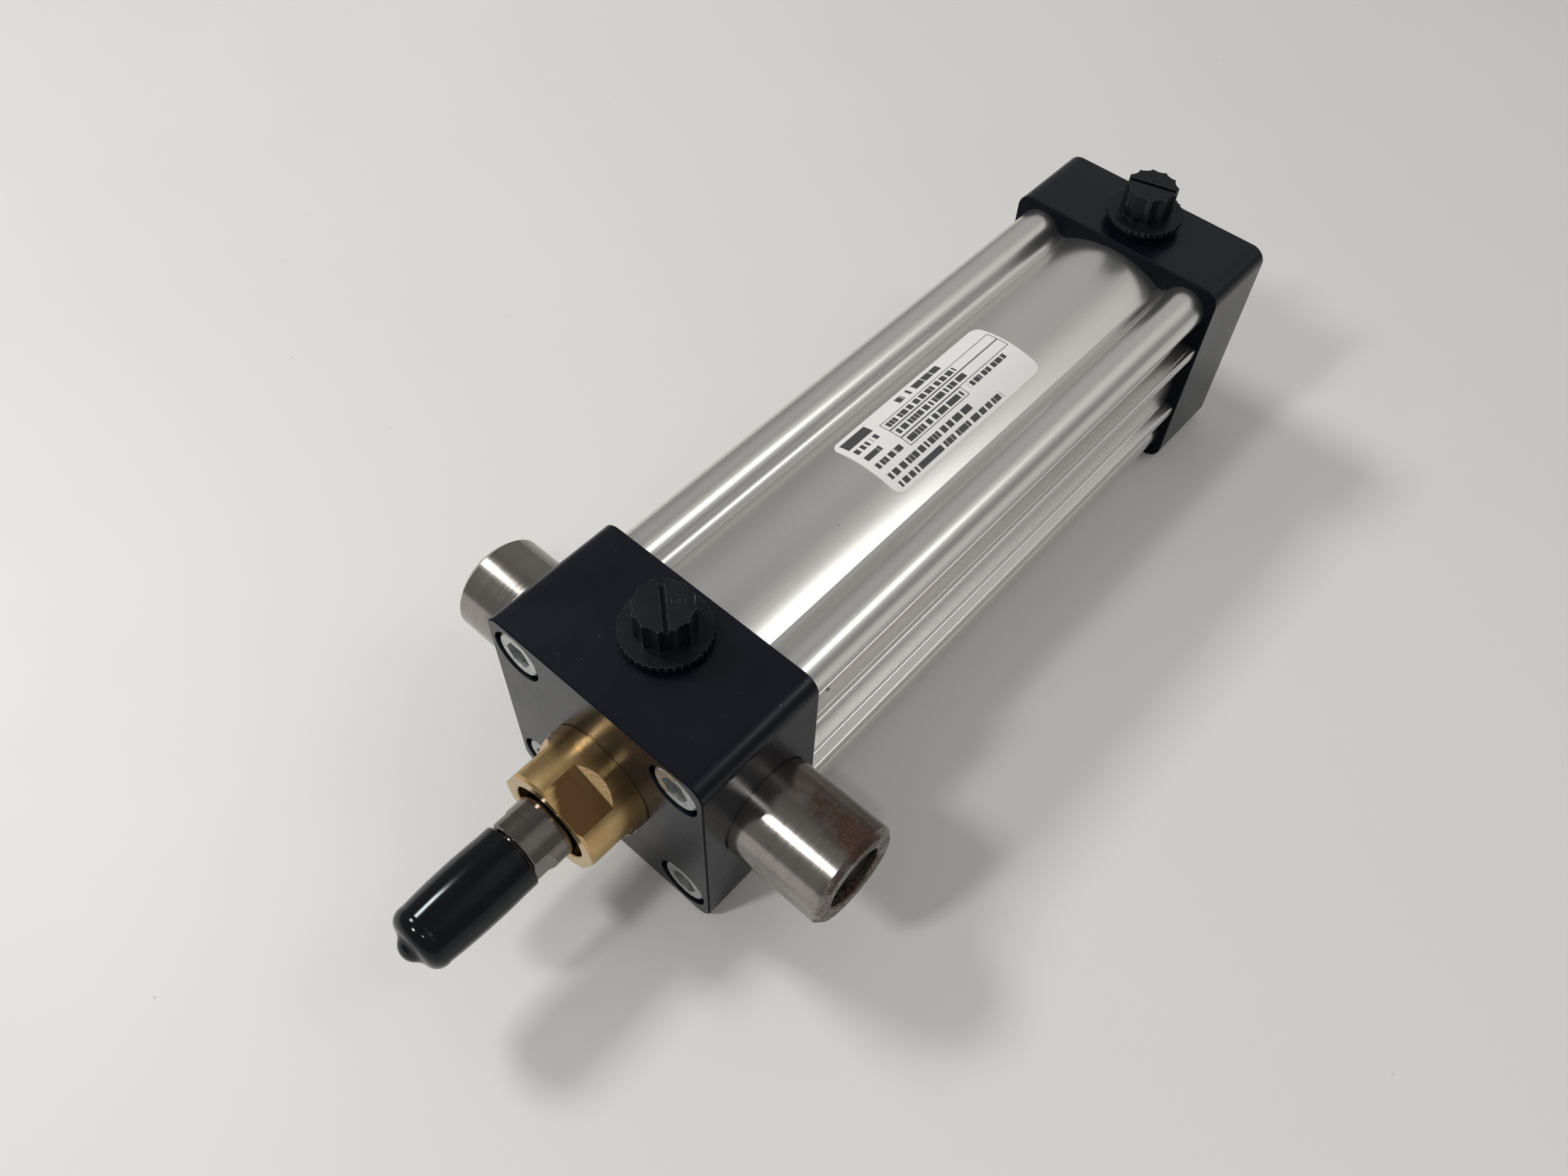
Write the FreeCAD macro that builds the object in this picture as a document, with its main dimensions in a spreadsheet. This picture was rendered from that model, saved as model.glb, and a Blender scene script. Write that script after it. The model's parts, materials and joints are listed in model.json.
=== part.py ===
"""Double-acting pneumatic cylinder with an extruded barrel and trunnion pins on its head.

Frame, in millimetres: +X runs along the piston rod and out of the head, +Z up through the
ports, +Y towards the right-hand trunnion pin. The origin is the centre of the head's front
face. The rod is fully retracted.
"""
import FreeCAD, Part
import math
import os

import Sketcher
from FreeCAD import Placement, Rotation, Vector

DOC = FreeCAD.newDocument("pneumatic_cylinder")
SHEET = DOC.addObject("Spreadsheet::Sheet", "Dims")

DIMENSIONS = {
    # end blocks
    "block_width": 63.5,
    "block_corner": 4.3,
    "block_edge": 0.35,
    "head_length": 34.925,
    "cap_length": 25.4,
    "spigot_length": 5.0,
    "spigot_radius": 25.35,
    "spigot_groove_radius": 22.9,
    "spigot_groove_width": 2.9,
    "spigot_groove_offset": 1.1,
    # barrel
    "barrel_length": 158.75,
    "bore_radius": 25.4,
    "barrel_radius": 29.2,
    "lobe_radius": 6.1,
    "rail_reach": 31.0,
    "rail_top": 12.7,
    "rail_mouth": 9.75,
    "rail_root": 8.95,
    "rail_root_y": 27.7,
    "rail_floor": 28.1,
    "rail_rounding": 0.6,
    "root_rounding": 0.6,
    "line_radius": 0.22,
    "valley_start_y": 15.0,
    "valley_start_z": 25.05,
    "valley_end_y": 18.16,
    "valley_end_z": 26.54,
    "valley_sag": 0.522,
    "flank_line_y": 29.6,
    # screws that clamp the blocks to the barrel
    "screw_pitch": 46.74,
    "screw_shank_radius": 3.95,
    "screw_head_radius": 5.95,
    "screw_head_height": 7.9,
    "screw_socket_flats": 6.35,
    "screw_socket_depth": 4.2,
    "screw_recess": 0.45,
    "screw_engagement": 16.0,
    "screw_edge": 0.5,
    "counterbore_radius": 6.8,
    "counterbore_depth": 8.35,
    "screw_hole_radius": 4.2,
    "tapped_radius": 4.0,
    # ports and their shipping plugs
    "port_setback": 12.7,
    "port_radius": 8.4,
    "port_depth": 14.0,
    "port_way_radius": 3.5,
    "port_way_depth": 23.0,
    "plug_thread_radius": 8.34,
    "plug_thread_length": 9.0,
    "head_plug_lift": 1.25,
    "cap_plug_lift": 2.4,
    "plug_flange_radius": 10.45,
    "plug_flange_thickness": 1.2,
    "plug_grip_radius": 7.0,
    "plug_grip_height": 8.0,
    "plug_slot_width": 1.3,
    "plug_slot_depth": 1.4,
    "grip_cutter_radius": 3.57,
    "grip_cutter_offset": 9.82,
    "flange_cutter_radius": 1.1,
    "flange_cutter_offset": 11.15,
    # rod gland and what it holds; the photo shows one diameter with a fine line round it, and
    # the nose is modelled this much smaller so that the mount check measures the pilot alone
    "gland_radius": 14.2875,
    "gland_nose_radius": 14.1,
    "gland_inner_radius": 14.0,
    "gland_relief_width": 0.25,
    "gland_reach": 15.875,
    "gland_depth": 17.6,
    "gland_bore_radius": 8.0,
    "gland_edge": 0.6,
    "gland_flats": 25.4,
    "gland_flat_start": 6.5,
    "gland_shoulder_run": 2.1,
    "gland_step_x": 3.4,
    "gland_line_width": 0.2,
    "gland_line_radius": 14.0,
    "wiper_recess_radius": 10.0,
    "wiper_recess_depth": 4.9,
    "wiper_depth": 2.4,
    "seal_recess_radius": 11.6,
    "seal_recess_depth": 5.2,
    "gland_groove_x": -9.0,
    "gland_groove_width": 2.9,
    "gland_groove_radius": 11.9,
    # chambers inside the blocks
    "gland_pocket_radius": 14.05,
    "gland_pocket_depth": 18.0,
    "head_chamber_radius": 11.5,
    "cap_chamber_radius": 9.6,
    "cap_chamber_bottom": 9.0,
    "cushion_seal_depth": 3.6,
    "head_cushion_seal_radius": 14.6,
    "cap_cushion_seal_radius": 12.6,
    # rod and piston
    "rod_radius": 7.9375,
    "rod_reach": 25.4,
    "thread_radius": 6.35,
    "thread_length": 19.05,
    "thread_pitch": 1.27,
    "thread_depth": 0.6,
    "thread_start": 1.2,
    "rod_flats": 12.7,
    "rod_flat_start": 21.9,
    "rod_shoulder_run": 1.4,
    "stud_radius": 6.0,
    "stud_end": -200.0,
    "stroke": 127.0,
    "piston_gap": 0.6,
    "piston_length": 20.6,
    "piston_radius": 25.1,
    "piston_land": 2.0,
    "seal_groove_width": 4.0,
    "seal_groove_radius": 21.0,
    "band_groove_width": 5.4,
    "band_groove_radius": 23.5,
    "magnet_width": 4.4,
    "magnet_outer_radius": 23.2,
    "magnet_inner_radius": 19.5,
    "seal_outer_radius": 25.35,
    "seal_clearance": 0.3,
    "side_clearance": 0.15,
    "cushion_length": 18.0,
    "sleeve_radius": 11.0,
    "spear_radius": 9.0,
    "spear_nose": 1.5,
    "stud_fit": 0.05,
    "stud_ring_setback": 3.4,
    "stud_ring_width": 1.9,
    "stud_ring_radius": 7.4,
    # trunnion pins
    "trunnion_x": -19.05,
    "trunnion_radius": 12.7,
    "trunnion_reach": 57.15,
    "trunnion_seat": 4.0,
    "trunnion_spigot_radius": 10.5,
    "trunnion_relief_width": 0.4,
    "trunnion_relief_radius": 12.35,
    "trunnion_edge": 1.3,
    "trunnion_bore_radius": 7.7,
    "trunnion_bore_depth": 16.0,
    "trunnion_hole_radius": 4.9,
    "trunnion_screw_radius": 4.75,
    "trunnion_screw_head_radius": 7.15,
    "trunnion_screw_head_height": 9.5,
    "trunnion_screw_engagement": 9.5,
    "trunnion_screw_flats": 7.94,
    # cushion needles
    "needle_setback": 7.0,
    "needle_radius": 3.1,
    "needle_hole_radius": 3.18,
    "needle_recess": 1.2,
    "needle_length": 13.0,
    "needle_tip_length": 3.0,
    "needle_tip_radius": 1.0,
    "needle_way_radius": 1.2,
    "needle_hole_depth": 14.5,
    "needle_way_depth": 24.0,
    "needle_slot_width": 1.0,
    "needle_slot_depth": 1.3,
    "needle_neck_radius": 2.2,
    # thread protector
    "protector_start": 25.8,
    "protector_bore_radius": 6.43,
    "protector_mouth_radius": 8.0,
    "protector_tip_radius": 7.6,
    "protector_length": 29.7,
    "protector_dome_length": 6.4,
    "protector_nub_radius": 2.9,
    "protector_nub_height": 1.3,
    "protector_crease_setback": 1.1,
    "protector_crease_margin": 2.0,
    "protector_belly_sag": 0.32,
    "protector_dome_sag": 1.04,
    "protector_crease_sag": -0.2,
    "protector_end_gap": 1.0,
    "protector_cone_depth": 1.0,
    # label
    "label_start": -87.6,
    "label_length": 57.2,
    "label_width": 21.2,
    "label_corner": 2.4,
    "label_thickness": 0.12,
}

GLAND_TURN = 63.0
ROD_TURN = -6.0
HEAD_PLUG_TURN = 50.0
CAP_PLUG_TURN = 106.0
GRIP_RIBS = 12
FLANGE_SCALLOPS = 40
CORNERS = [(1, 1), (-1, 1), (-1, -1), (1, -1)]
PARTS = []


class Size:
    """A length that keeps its number together with the sheet expression that gives it."""

    def __init__(self, value, text):
        self.value = value
        self.text = text

    def __add__(self, other):
        other = as_size(other)
        return Size(self.value + other.value, f"({self.text} + {other.text})")

    def __sub__(self, other):
        other = as_size(other)
        return Size(self.value - other.value, f"({self.text} - {other.text})")

    def __mul__(self, factor):
        return Size(self.value * factor, f"({self.text} * {factor})")

    def __truediv__(self, factor):
        return Size(self.value / factor, f"({self.text} / {factor})")

    def __neg__(self):
        return Size(-self.value, f"(0 mm - {self.text})")


def as_size(number):
    """A plain number as a Size."""
    if isinstance(number, Size):
        return number
    return Size(float(number), f"({float(number)} * 1 mm)")


def fill_sheet():
    """Write every dimension to the sheet as text, with its alias."""
    for row, (alias, value) in enumerate(DIMENSIONS.items(), start=1):
        SHEET.set(f"A{row}", alias)
        SHEET.set(f"B{row}", str(value))
        SHEET.setAlias(f"B{row}", alias)
    DOC.recompute()


def dim(alias):
    """The sheet's dimension of that name."""
    return Size(DIMENSIONS[alias], f"(Dims.{alias} * 1 mm)")


# ---------------------------------------------------------------- building blocks


def bind(thing, prop, size):
    """Tie one property of an object to the sheet."""
    thing.setExpression(prop, as_size(size).text)


def place(thing, x=0, y=0, z=0, axis=(0, 0, 1), turn=0.0):
    """Turn an object about an axis through its origin, then move it to bound coordinates."""
    spot = [as_size(x), as_size(y), as_size(z)]
    base = Vector(*[size.value for size in spot])
    thing.Placement = Placement(base, Rotation(Vector(*axis), turn))
    for letter, size in zip("xyz", spot):
        if size.value:
            bind(thing, f"Placement.Base.{letter}", size)


def new_body(name):
    """An empty PartDesign body."""
    return DOC.addObject("PartDesign::Body", name)


def plane_of(body, role):
    """One of the body's own origin planes."""
    for feature in body.Origin.OriginFeatures:
        if feature.Role == role:
            return feature
    raise ValueError(role)


def new_sketch(body, name, role, offset=None):
    """A sketch on one of the body's origin planes, moved along the plane's normal."""
    sketch = body.newObject("Sketcher::SketchObject", name)
    sketch.AttachmentSupport = [(plane_of(body, role), "")]
    sketch.MapMode = "FlatFace"
    if offset is not None:
        offset = as_size(offset)
        sketch.AttachmentOffset = Placement(Vector(0, 0, offset.value), Rotation())
        bind(sketch, "AttachmentOffset.Base.z", offset)
    return sketch


def pin_point(sketch, curve, point, x, y):
    """Fix one point of a curve at bound coordinates."""
    for kind, size in (("DistanceX", as_size(x)), ("DistanceY", as_size(y))):
        index = sketch.addConstraint(Sketcher.Constraint(kind, -1, 1, curve, point, size.value))
        sketch.setExpression(f"Constraints[{index}]", size.text)


def arc_between(start, end, bulge):
    """The arc from one point to another that bulges to the left of the way by that much."""
    chord = end - start
    aside = Vector(-chord.y, chord.x, 0).normalize()
    return Part.Arc(start, (start + end) / 2 + aside * bulge, end)


def add_polygon(sketch, points):
    """A closed outline through bound points. A third number bulges the side that follows."""
    spots = [(as_size(point[0]), as_size(point[1])) for point in points]
    bulges = [point[2] if len(point) > 2 else 0 for point in points]
    count = len(spots)
    first = len(sketch.Geometry)
    for start, bulge in enumerate(bulges):
        ends = [Vector(x.value, y.value, 0) for x, y in (spots[start], spots[(start + 1) % count])]
        side = arc_between(*ends, bulge) if bulge else Part.LineSegment(*ends)
        sketch.addGeometry(side, False)
    for start in range(count):
        following = (start + 1) % count
        leaving = 1 if bulges[start] > 0 else 2
        meeting = 2 if bulges[following] > 0 else 1
        sketch.addConstraint(Sketcher.Constraint("Coincident", first + start, leaving,
                                                 first + following, meeting))
        pin_point(sketch, first + start, 2 if bulges[start] > 0 else 1, *spots[start])
    for start, bulge in enumerate(bulges):
        if bulge:
            radius = sketch.Geometry[first + start].Radius
            sketch.addConstraint(Sketcher.Constraint("Radius", first + start, radius))


def add_circle(sketch, x, y, radius):
    """A circle with bound centre and radius."""
    x, y, radius = as_size(x), as_size(y), as_size(radius)
    circle = Part.Circle(Vector(x.value, y.value, 0), Vector(0, 0, 1), radius.value)
    curve = sketch.addGeometry(circle, False)
    pin_point(sketch, curve, 3, x, y)
    index = sketch.addConstraint(Sketcher.Constraint("Radius", curve, radius.value))
    sketch.setExpression(f"Constraints[{index}]", radius.text)


def checked(body, feature, sign):
    """Recompute, and insist that the feature added (+1) or removed (-1) material."""
    DOC.recompute()
    before = feature.BaseFeature.Shape.Volume if feature.BaseFeature else 0.0
    if (feature.Shape.Volume - before) * sign <= 0:
        raise RuntimeError(f"{body.Name}.{feature.Name} changed nothing")
    return feature


def turned(body, name, points, cut=False):
    """Add or cut the solid of revolution of an (x, radius) outline about the X axis."""
    sketch = new_sketch(body, f"{name}_outline", "XY_Plane")
    add_polygon(sketch, points)
    kind = "PartDesign::Groove" if cut else "PartDesign::Revolution"
    feature = body.newObject(kind, name)
    feature.Profile = sketch
    feature.ReferenceAxis = (sketch, ["H_Axis"])
    feature.Angle = 360.0
    return checked(body, feature, -1 if cut else 1)


def pocket(body, name, sketch, depth, reverse=False, middle=False):
    """Cut a sketch into the body, to a bound depth."""
    feature = body.newObject("PartDesign::Pocket", name)
    feature.Profile = sketch
    feature.Reversed = reverse
    feature.Midplane = middle
    feature.Length = as_size(depth).value
    bind(feature, "Length", depth)
    return checked(body, feature, -1)


def drill(body, name, role, offset, centres, radius, depth, reverse=False):
    """Cut round holes of one size, starting from an offset origin plane."""
    sketch = new_sketch(body, f"{name}_circles", role, offset)
    for x, y in centres:
        add_circle(sketch, x, y, radius)
    return pocket(body, name, sketch, depth, reverse)


def repeated(body, name, feature, axis, count):
    """Copy a feature round one of the body's axes."""
    pattern = body.newObject("PartDesign::PolarPattern", name)
    pattern.Originals = [feature]
    for item in body.Origin.OriginFeatures:
        if item.Role == axis:
            pattern.Axis = (item, [""])
    pattern.Angle = 360.0
    pattern.Occurrences = count
    body.Tip = pattern
    return checked(body, pattern, -1)


def edges_where(shape, test):
    """Names of the edges whose end points and middle all pass a test."""
    names = []
    for number, edge in enumerate(shape.Edges, start=1):
        middle = edge.valueAt((edge.FirstParameter + edge.LastParameter) / 2)
        spots = [vertex.Point for vertex in edge.Vertexes] + [middle]
        if all(test(spot) for spot in spots):
            names.append(f"Edge{number}")
    return names


def dress(body, kind, name, size, test):
    """Fillet or chamfer the tip's edges that pass a test, at a bound size."""
    base = body.Tip
    feature = body.newObject(f"PartDesign::{kind}", name)
    feature.Base = (base, edges_where(base.Shape, test))
    prop = "Radius" if kind == "Fillet" else "Size"
    setattr(feature, prop, as_size(size).value)
    bind(feature, prop, size)
    return checked(body, feature, -1)


def keep(thing, label):
    """Register a finished sub-part under the name of its node."""
    thing.Label = label
    PARTS.append(thing)
    return thing


# ---------------------------------------------------------------- end blocks


def end_block(name, length, chamber, chamber_end, seal_radius):
    """A square end block: outer face at x = 0, spigot towards -X, with its chamber and holes."""
    body = new_body(name)
    half = dim("block_width") / 2
    sketch = new_sketch(body, f"{name}_square", "YZ_Plane")
    add_polygon(sketch, [(half * y, half * z) for y, z in CORNERS])
    pad = body.newObject("PartDesign::Pad", f"{name}_pad")
    pad.Profile = sketch
    pad.Reversed = True
    pad.Length = length.value
    bind(pad, "Length", length)
    checked(body, pad, 1)

    near_corner = half.value - 0.01
    dress(body, "Fillet", f"{name}_long_edges", dim("block_corner"),
          lambda p: abs(p.y) > near_corner and abs(p.z) > near_corner)
    dress(body, "Chamfer", f"{name}_face_edges", dim("block_edge"),
          lambda p: abs(p.x) < 0.01 or abs(p.x + length.value) < 0.01)

    inner = -length
    tip = inner - dim("spigot_length")
    spigot = [(inner + 1, 1), (inner + 1, dim("spigot_radius")), (tip, dim("spigot_radius")),
              (tip, 1)]
    turned(body, f"{name}_spigot", spigot)
    seat = tip + dim("cushion_seal_depth")
    turned(body, f"{name}_chamber",
           [(chamber_end, 0), (chamber_end, chamber), (seat, chamber), (seat, seal_radius),
            (tip - 1, seal_radius), (tip - 1, 0)], cut=True)
    groove_end = inner - dim("spigot_groove_offset")
    groove_start = groove_end - dim("spigot_groove_width")
    turned(body, f"{name}_seal_groove",
           [(groove_start, dim("spigot_groove_radius")), (groove_end, dim("spigot_groove_radius")),
            (groove_end, dim("spigot_radius") + 1), (groove_start, dim("spigot_radius") + 1)],
           cut=True)

    step = dim("screw_pitch") / 2
    holes = [(step * y, step * z) for y, z in CORNERS]
    drill(body, f"{name}_screw_holes", "YZ_Plane", None, holes, dim("screw_hole_radius"),
          length + dim("spigot_length"))
    drill(body, f"{name}_counterbores", "YZ_Plane", None, holes, dim("counterbore_radius"),
          dim("counterbore_depth"))

    port = [(inner + dim("port_setback"), 0)]
    drill(body, f"{name}_port", "XY_Plane", half, port, dim("port_radius"), dim("port_depth"))
    drill(body, f"{name}_port_way", "XY_Plane", half, port, dim("port_way_radius"),
          dim("port_way_depth"))
    needle = [(inner + dim("needle_setback"), 0)]
    drill(body, f"{name}_needle_hole", "XY_Plane", -half, needle, dim("needle_hole_radius"),
          dim("needle_hole_depth"), reverse=True)
    drill(body, f"{name}_needle_way", "XY_Plane", -half, needle, dim("needle_way_radius"),
          dim("needle_way_depth"), reverse=True)
    return body


def make_head():
    """The head: pocket for the gland, and seats for the trunnion pins on both sides."""
    depth = dim("gland_pocket_depth")
    body = end_block("head", dim("head_length"), dim("head_chamber_radius"), -depth,
                     dim("head_cushion_seal_radius"))
    turned(body, "gland_pocket",
           [(-depth, 0), (-depth, dim("gland_pocket_radius")), (1, dim("gland_pocket_radius")),
            (1, 0)], cut=True)
    half = dim("block_width") / 2
    spot = [(dim("trunnion_x"), 0)]
    for side, offset, reverse in (("right", -half, True), ("left", half, False)):
        drill(body, f"{side}_pin_seat", "XZ_Plane", offset, spot,
              dim("trunnion_spigot_radius") + 0.03,
              dim("trunnion_seat"), reverse)
        drill(body, f"{side}_pin_thread", "XZ_Plane", offset, spot, dim("trunnion_hole_radius"),
              dim("trunnion_seat") + dim("trunnion_screw_engagement") + 0.5, reverse)
    return keep(body, "head")


def make_end_cap():
    """The rear cap: the same block, shorter, turned round to face the other way."""
    body = end_block("end_cap", dim("cap_length"), dim("cap_chamber_radius"),
                     -dim("cap_chamber_bottom"), dim("cap_cushion_seal_radius"))
    place(body, x=rear_face(), turn=180)
    return keep(body, "end_cap")


def rear_face():
    """The X of the cap's outer face."""
    return -(dim("head_length") + dim("barrel_length") + dim("cap_length"))


# ---------------------------------------------------------------- barrel and label


def cylinder_x(name, start, length, radius, y=0, z=0):
    """A Part cylinder along +X."""
    thing = DOC.addObject("Part::Cylinder", name)
    bind(thing, "Radius", radius)
    bind(thing, "Height", length)
    place(thing, start, y, z, axis=(0, 1, 0), turn=90)
    return thing


def box(name, start, size):
    """A Part box from its lowest corner and its three sides."""
    thing = DOC.addObject("Part::Box", name)
    for prop, side in zip(("Length", "Width", "Height"), size):
        bind(thing, prop, side)
    place(thing, *start)
    return thing


def joined(kind, name, things):
    """A Part boolean of many objects."""
    thing = DOC.addObject(kind, name)
    thing.Shapes = things
    return thing


def cut_away(name, base, tool):
    """One Part object minus another."""
    thing = DOC.addObject("Part::Cut", name)
    thing.Base = base
    thing.Tool = tool
    return thing


def make_barrel():
    """The extrusion: round wall, four screw lobes, and two rails with a flat floor per side."""
    start = -(dim("head_length") + dim("barrel_length"))
    length = dim("barrel_length")
    floor, root = dim("rail_floor"), dim("rail_root")
    wide = (length + 2, dim("barrel_radius"), root * 2)
    floors = [box("floor_cut_right", (start - 1, floor, -root), wide),
              box("floor_cut_left", (start - 1, -(floor + dim("barrel_radius")), -root), wide)]
    wall = cut_away("floored_wall", cylinder_x("barrel_wall", start, length, dim("barrel_radius")),
                    joined("Part::MultiFuse", "floor_cuts", floors))

    solids = [wall, make_rails(start, length)]
    step = dim("screw_pitch") / 2
    for number, (y, z) in enumerate(CORNERS):
        solids.append(cylinder_x(f"lobe_{number}", start, length, dim("lobe_radius"),
                                 step * y, step * z))
    outside = joined("Part::MultiFuse", "barrel_outside", solids)
    outside.Refine = True
    DOC.recompute()

    rounded = DOC.addObject("Part::Fillet", "barrel_rounded")
    rounded.Base = outside
    rounded.Edges = long_edge_fillets(outside.Shape)

    holes = [cylinder_x("barrel_bore", start - 1, length + 2, dim("bore_radius"))]
    for number, (y, z) in enumerate(CORNERS):
        holes.append(cylinder_x(f"tapped_{number}", start - 1, length + 2, dim("tapped_radius"),
                                step * y, step * z))
        holes.append(cylinder_x(f"flank_line_{number}", start - 1, length + 2, dim("line_radius"),
                                dim("flank_line_y") * y, dim("rail_top") * z))
    inside = joined("Part::MultiFuse", "barrel_inside", holes)
    return keep(cut_away("barrel", rounded, inside), "barrel_profile")


def make_rails(start, length):
    """The four side rails, and the hollow webs that join each lobe to the round wall."""
    body = new_body("rails_and_webs")
    sketch = new_sketch(body, "rails_outline", "YZ_Plane", start)
    depth = as_size(8.0)
    for y, z in CORNERS:
        near = (dim("rail_reach") - depth) * y
        add_polygon(sketch, [(near, dim("rail_root") * z),
                             (dim("rail_root_y") * y, dim("rail_root") * z),
                             (dim("rail_reach") * y, dim("rail_mouth") * z),
                             (dim("rail_reach") * y, dim("rail_top") * z),
                             (near, dim("rail_top") * z)])
        sag = -DIMENSIONS["valley_sag"] * y * z
        add_polygon(sketch, [(dim("valley_start_y") * y, as_size(20.0) * z),
                             (dim("valley_start_y") * y, dim("valley_start_z") * z, sag),
                             (dim("valley_end_y") * y, dim("valley_end_z") * z),
                             (as_size(20.0) * y, as_size(20.0) * z)])
    pad = body.newObject("PartDesign::Pad", "rails_pad")
    pad.Profile = sketch
    pad.Length = length.value
    bind(pad, "Length", length)
    checked(body, pad, 1)
    return body


def filled_share(shape, spot, reach=0.05, samples=12):
    """How much of a small circle round a point, square to X, lies inside the shape."""
    inside = 0
    for k in range(samples):
        turn = 2 * math.pi * (k + 0.5) / samples
        probe = spot + Vector(0, reach * math.cos(turn), reach * math.sin(turn))
        inside += shape.isInside(probe, 1e-4, False)
    return inside / samples


def long_edge_fillets(shape):
    """A fillet for each sharp edge that runs the whole length: outer corners, then roots."""
    fillets = []
    for number, edge in enumerate(shape.Edges, start=1):
        ends = [vertex.Point for vertex in edge.Vertexes]
        if len(ends) != 2 or abs(ends[0].x - ends[1].x) < DIMENSIONS["barrel_length"] - 1:
            continue
        share = filled_share(shape, (ends[0] + ends[1]) / 2)
        if share < 0.4:
            size = DIMENSIONS["rail_rounding"]
        elif share > 0.6:
            size = DIMENSIONS["root_rounding"]
        else:
            continue
        fillets.append((number, size, size))
    return fillets


def make_label():
    """The blank label: a thin curved sheet with rounded corners, bonded to the barrel's top."""
    radius = dim("barrel_radius")
    start = dim("label_start") - dim("label_length")
    shell = cut_away("label_shell",
                     cylinder_x("label_outer", start, dim("label_length"),
                                radius + dim("label_thickness")),
                     cylinder_x("label_inner", start, dim("label_length"), radius))
    width = dim("label_width")
    plan = box("label_plan", (start, -width / 2, 0), (dim("label_length"), width, radius * 1.2))
    DOC.recompute()
    corners = DOC.addObject("Part::Fillet", "label_corners")
    corners.Base = plan
    corner = DIMENSIONS["label_corner"]
    corners.Edges = [
        (number, corner, corner) for number, edge in enumerate(plan.Shape.Edges, start=1)
        if abs(edge.tangentAt(edge.FirstParameter).z) > 0.9]
    label = joined("Part::MultiCommon", "label_sheet", [shell, corners])
    return keep(label, "label")


# ---------------------------------------------------------------- screws


def cap_screw(name, shank, head_radius, head_height, length, flats, socket):
    """A socket-head cap screw along -X, with the top of its head at x = 0."""
    body = new_body(name)
    edge = dim("screw_edge")
    end = -(head_height + length)
    turned(body, f"{name}_blank",
           [(0, 0), (0, head_radius - edge), (-edge, head_radius), (-head_height, head_radius),
            (-head_height, shank), (end + edge, shank), (end, shank - edge), (end, 0)])
    sketch = new_sketch(body, f"{name}_hexagon", "YZ_Plane")
    corner = flats / math.sqrt(3)
    turns = [math.radians(60 * k) for k in range(6)]
    add_polygon(sketch, [(corner * math.cos(a), corner * math.sin(a)) for a in turns])
    pocket(body, f"{name}_socket", sketch, socket)
    return body


def block_screws(label, length, face, turn):
    """Four screws through one block into the barrel's lobes."""
    step = dim("screw_pitch") / 2
    reach = length + dim("screw_engagement") - dim("screw_head_height") - dim("screw_recess")
    inward = -dim("screw_recess") if turn == 0 else dim("screw_recess")
    screws = []
    for number, (y, z) in enumerate(CORNERS):
        screw = cap_screw(f"{label}_{number}", dim("screw_shank_radius"),
                          dim("screw_head_radius"), dim("screw_head_height"), reach,
                          dim("screw_socket_flats"), dim("screw_socket_depth"))
        place(screw, as_size(face) + inward, step * y, step * z, turn=turn)
        screws.append(screw)
    group = DOC.addObject("Part::Compound", f"{label}_group")
    group.Links = screws
    return keep(group, label)


# ---------------------------------------------------------------- trunnion pins


def make_trunnion_pins():
    """Two steel pins, each held in its seat by a screw at the bottom of its bore."""
    reach = dim("trunnion_reach")
    seat = dim("block_width") / 2 - dim("trunnion_seat")
    face = dim("block_width") / 2
    relief_end = face + dim("trunnion_relief_width")
    relief = dim("trunnion_relief_radius")
    radius = dim("trunnion_radius")
    spigot = dim("trunnion_spigot_radius")
    edge = dim("trunnion_edge")
    bore = dim("trunnion_bore_radius")
    floor = reach - dim("trunnion_bore_depth")
    screws = []
    for side, sign in (("left", -1), ("right", 1)):
        pin = new_body(f"trunnion_pin_{side}")
        turned(pin, f"{side}_pin_blank",
               [(seat, dim("trunnion_hole_radius")), (seat, spigot), (face + 0.02, spigot),
                (face + 0.02, relief), (relief_end, relief), (relief_end, radius),
                (reach - edge, radius),
                (reach, radius - edge), (reach, bore + 0.4), (reach - 0.4, bore), (floor, bore),
                (floor, dim("trunnion_hole_radius"))])
        place(pin, x=dim("trunnion_x"), turn=90 * sign)
        keep(pin, f"trunnion_pin_{side}")

        screw = cap_screw(f"{side}_pin_screw", dim("trunnion_screw_radius"),
                          dim("trunnion_screw_head_radius"), dim("trunnion_screw_head_height"),
                          floor - seat + dim("trunnion_screw_engagement"),
                          dim("trunnion_screw_flats"), dim("screw_socket_depth"))
        place(screw, x=dim("trunnion_x"),
              y=(floor + dim("trunnion_screw_head_height")) * sign, turn=90 * sign)
        screws.append(screw)
    group = DOC.addObject("Part::Compound", "trunnion_screw_group")
    group.Links = screws
    keep(group, "trunnion_screws")


# ---------------------------------------------------------------- rod gland and its seals


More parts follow.
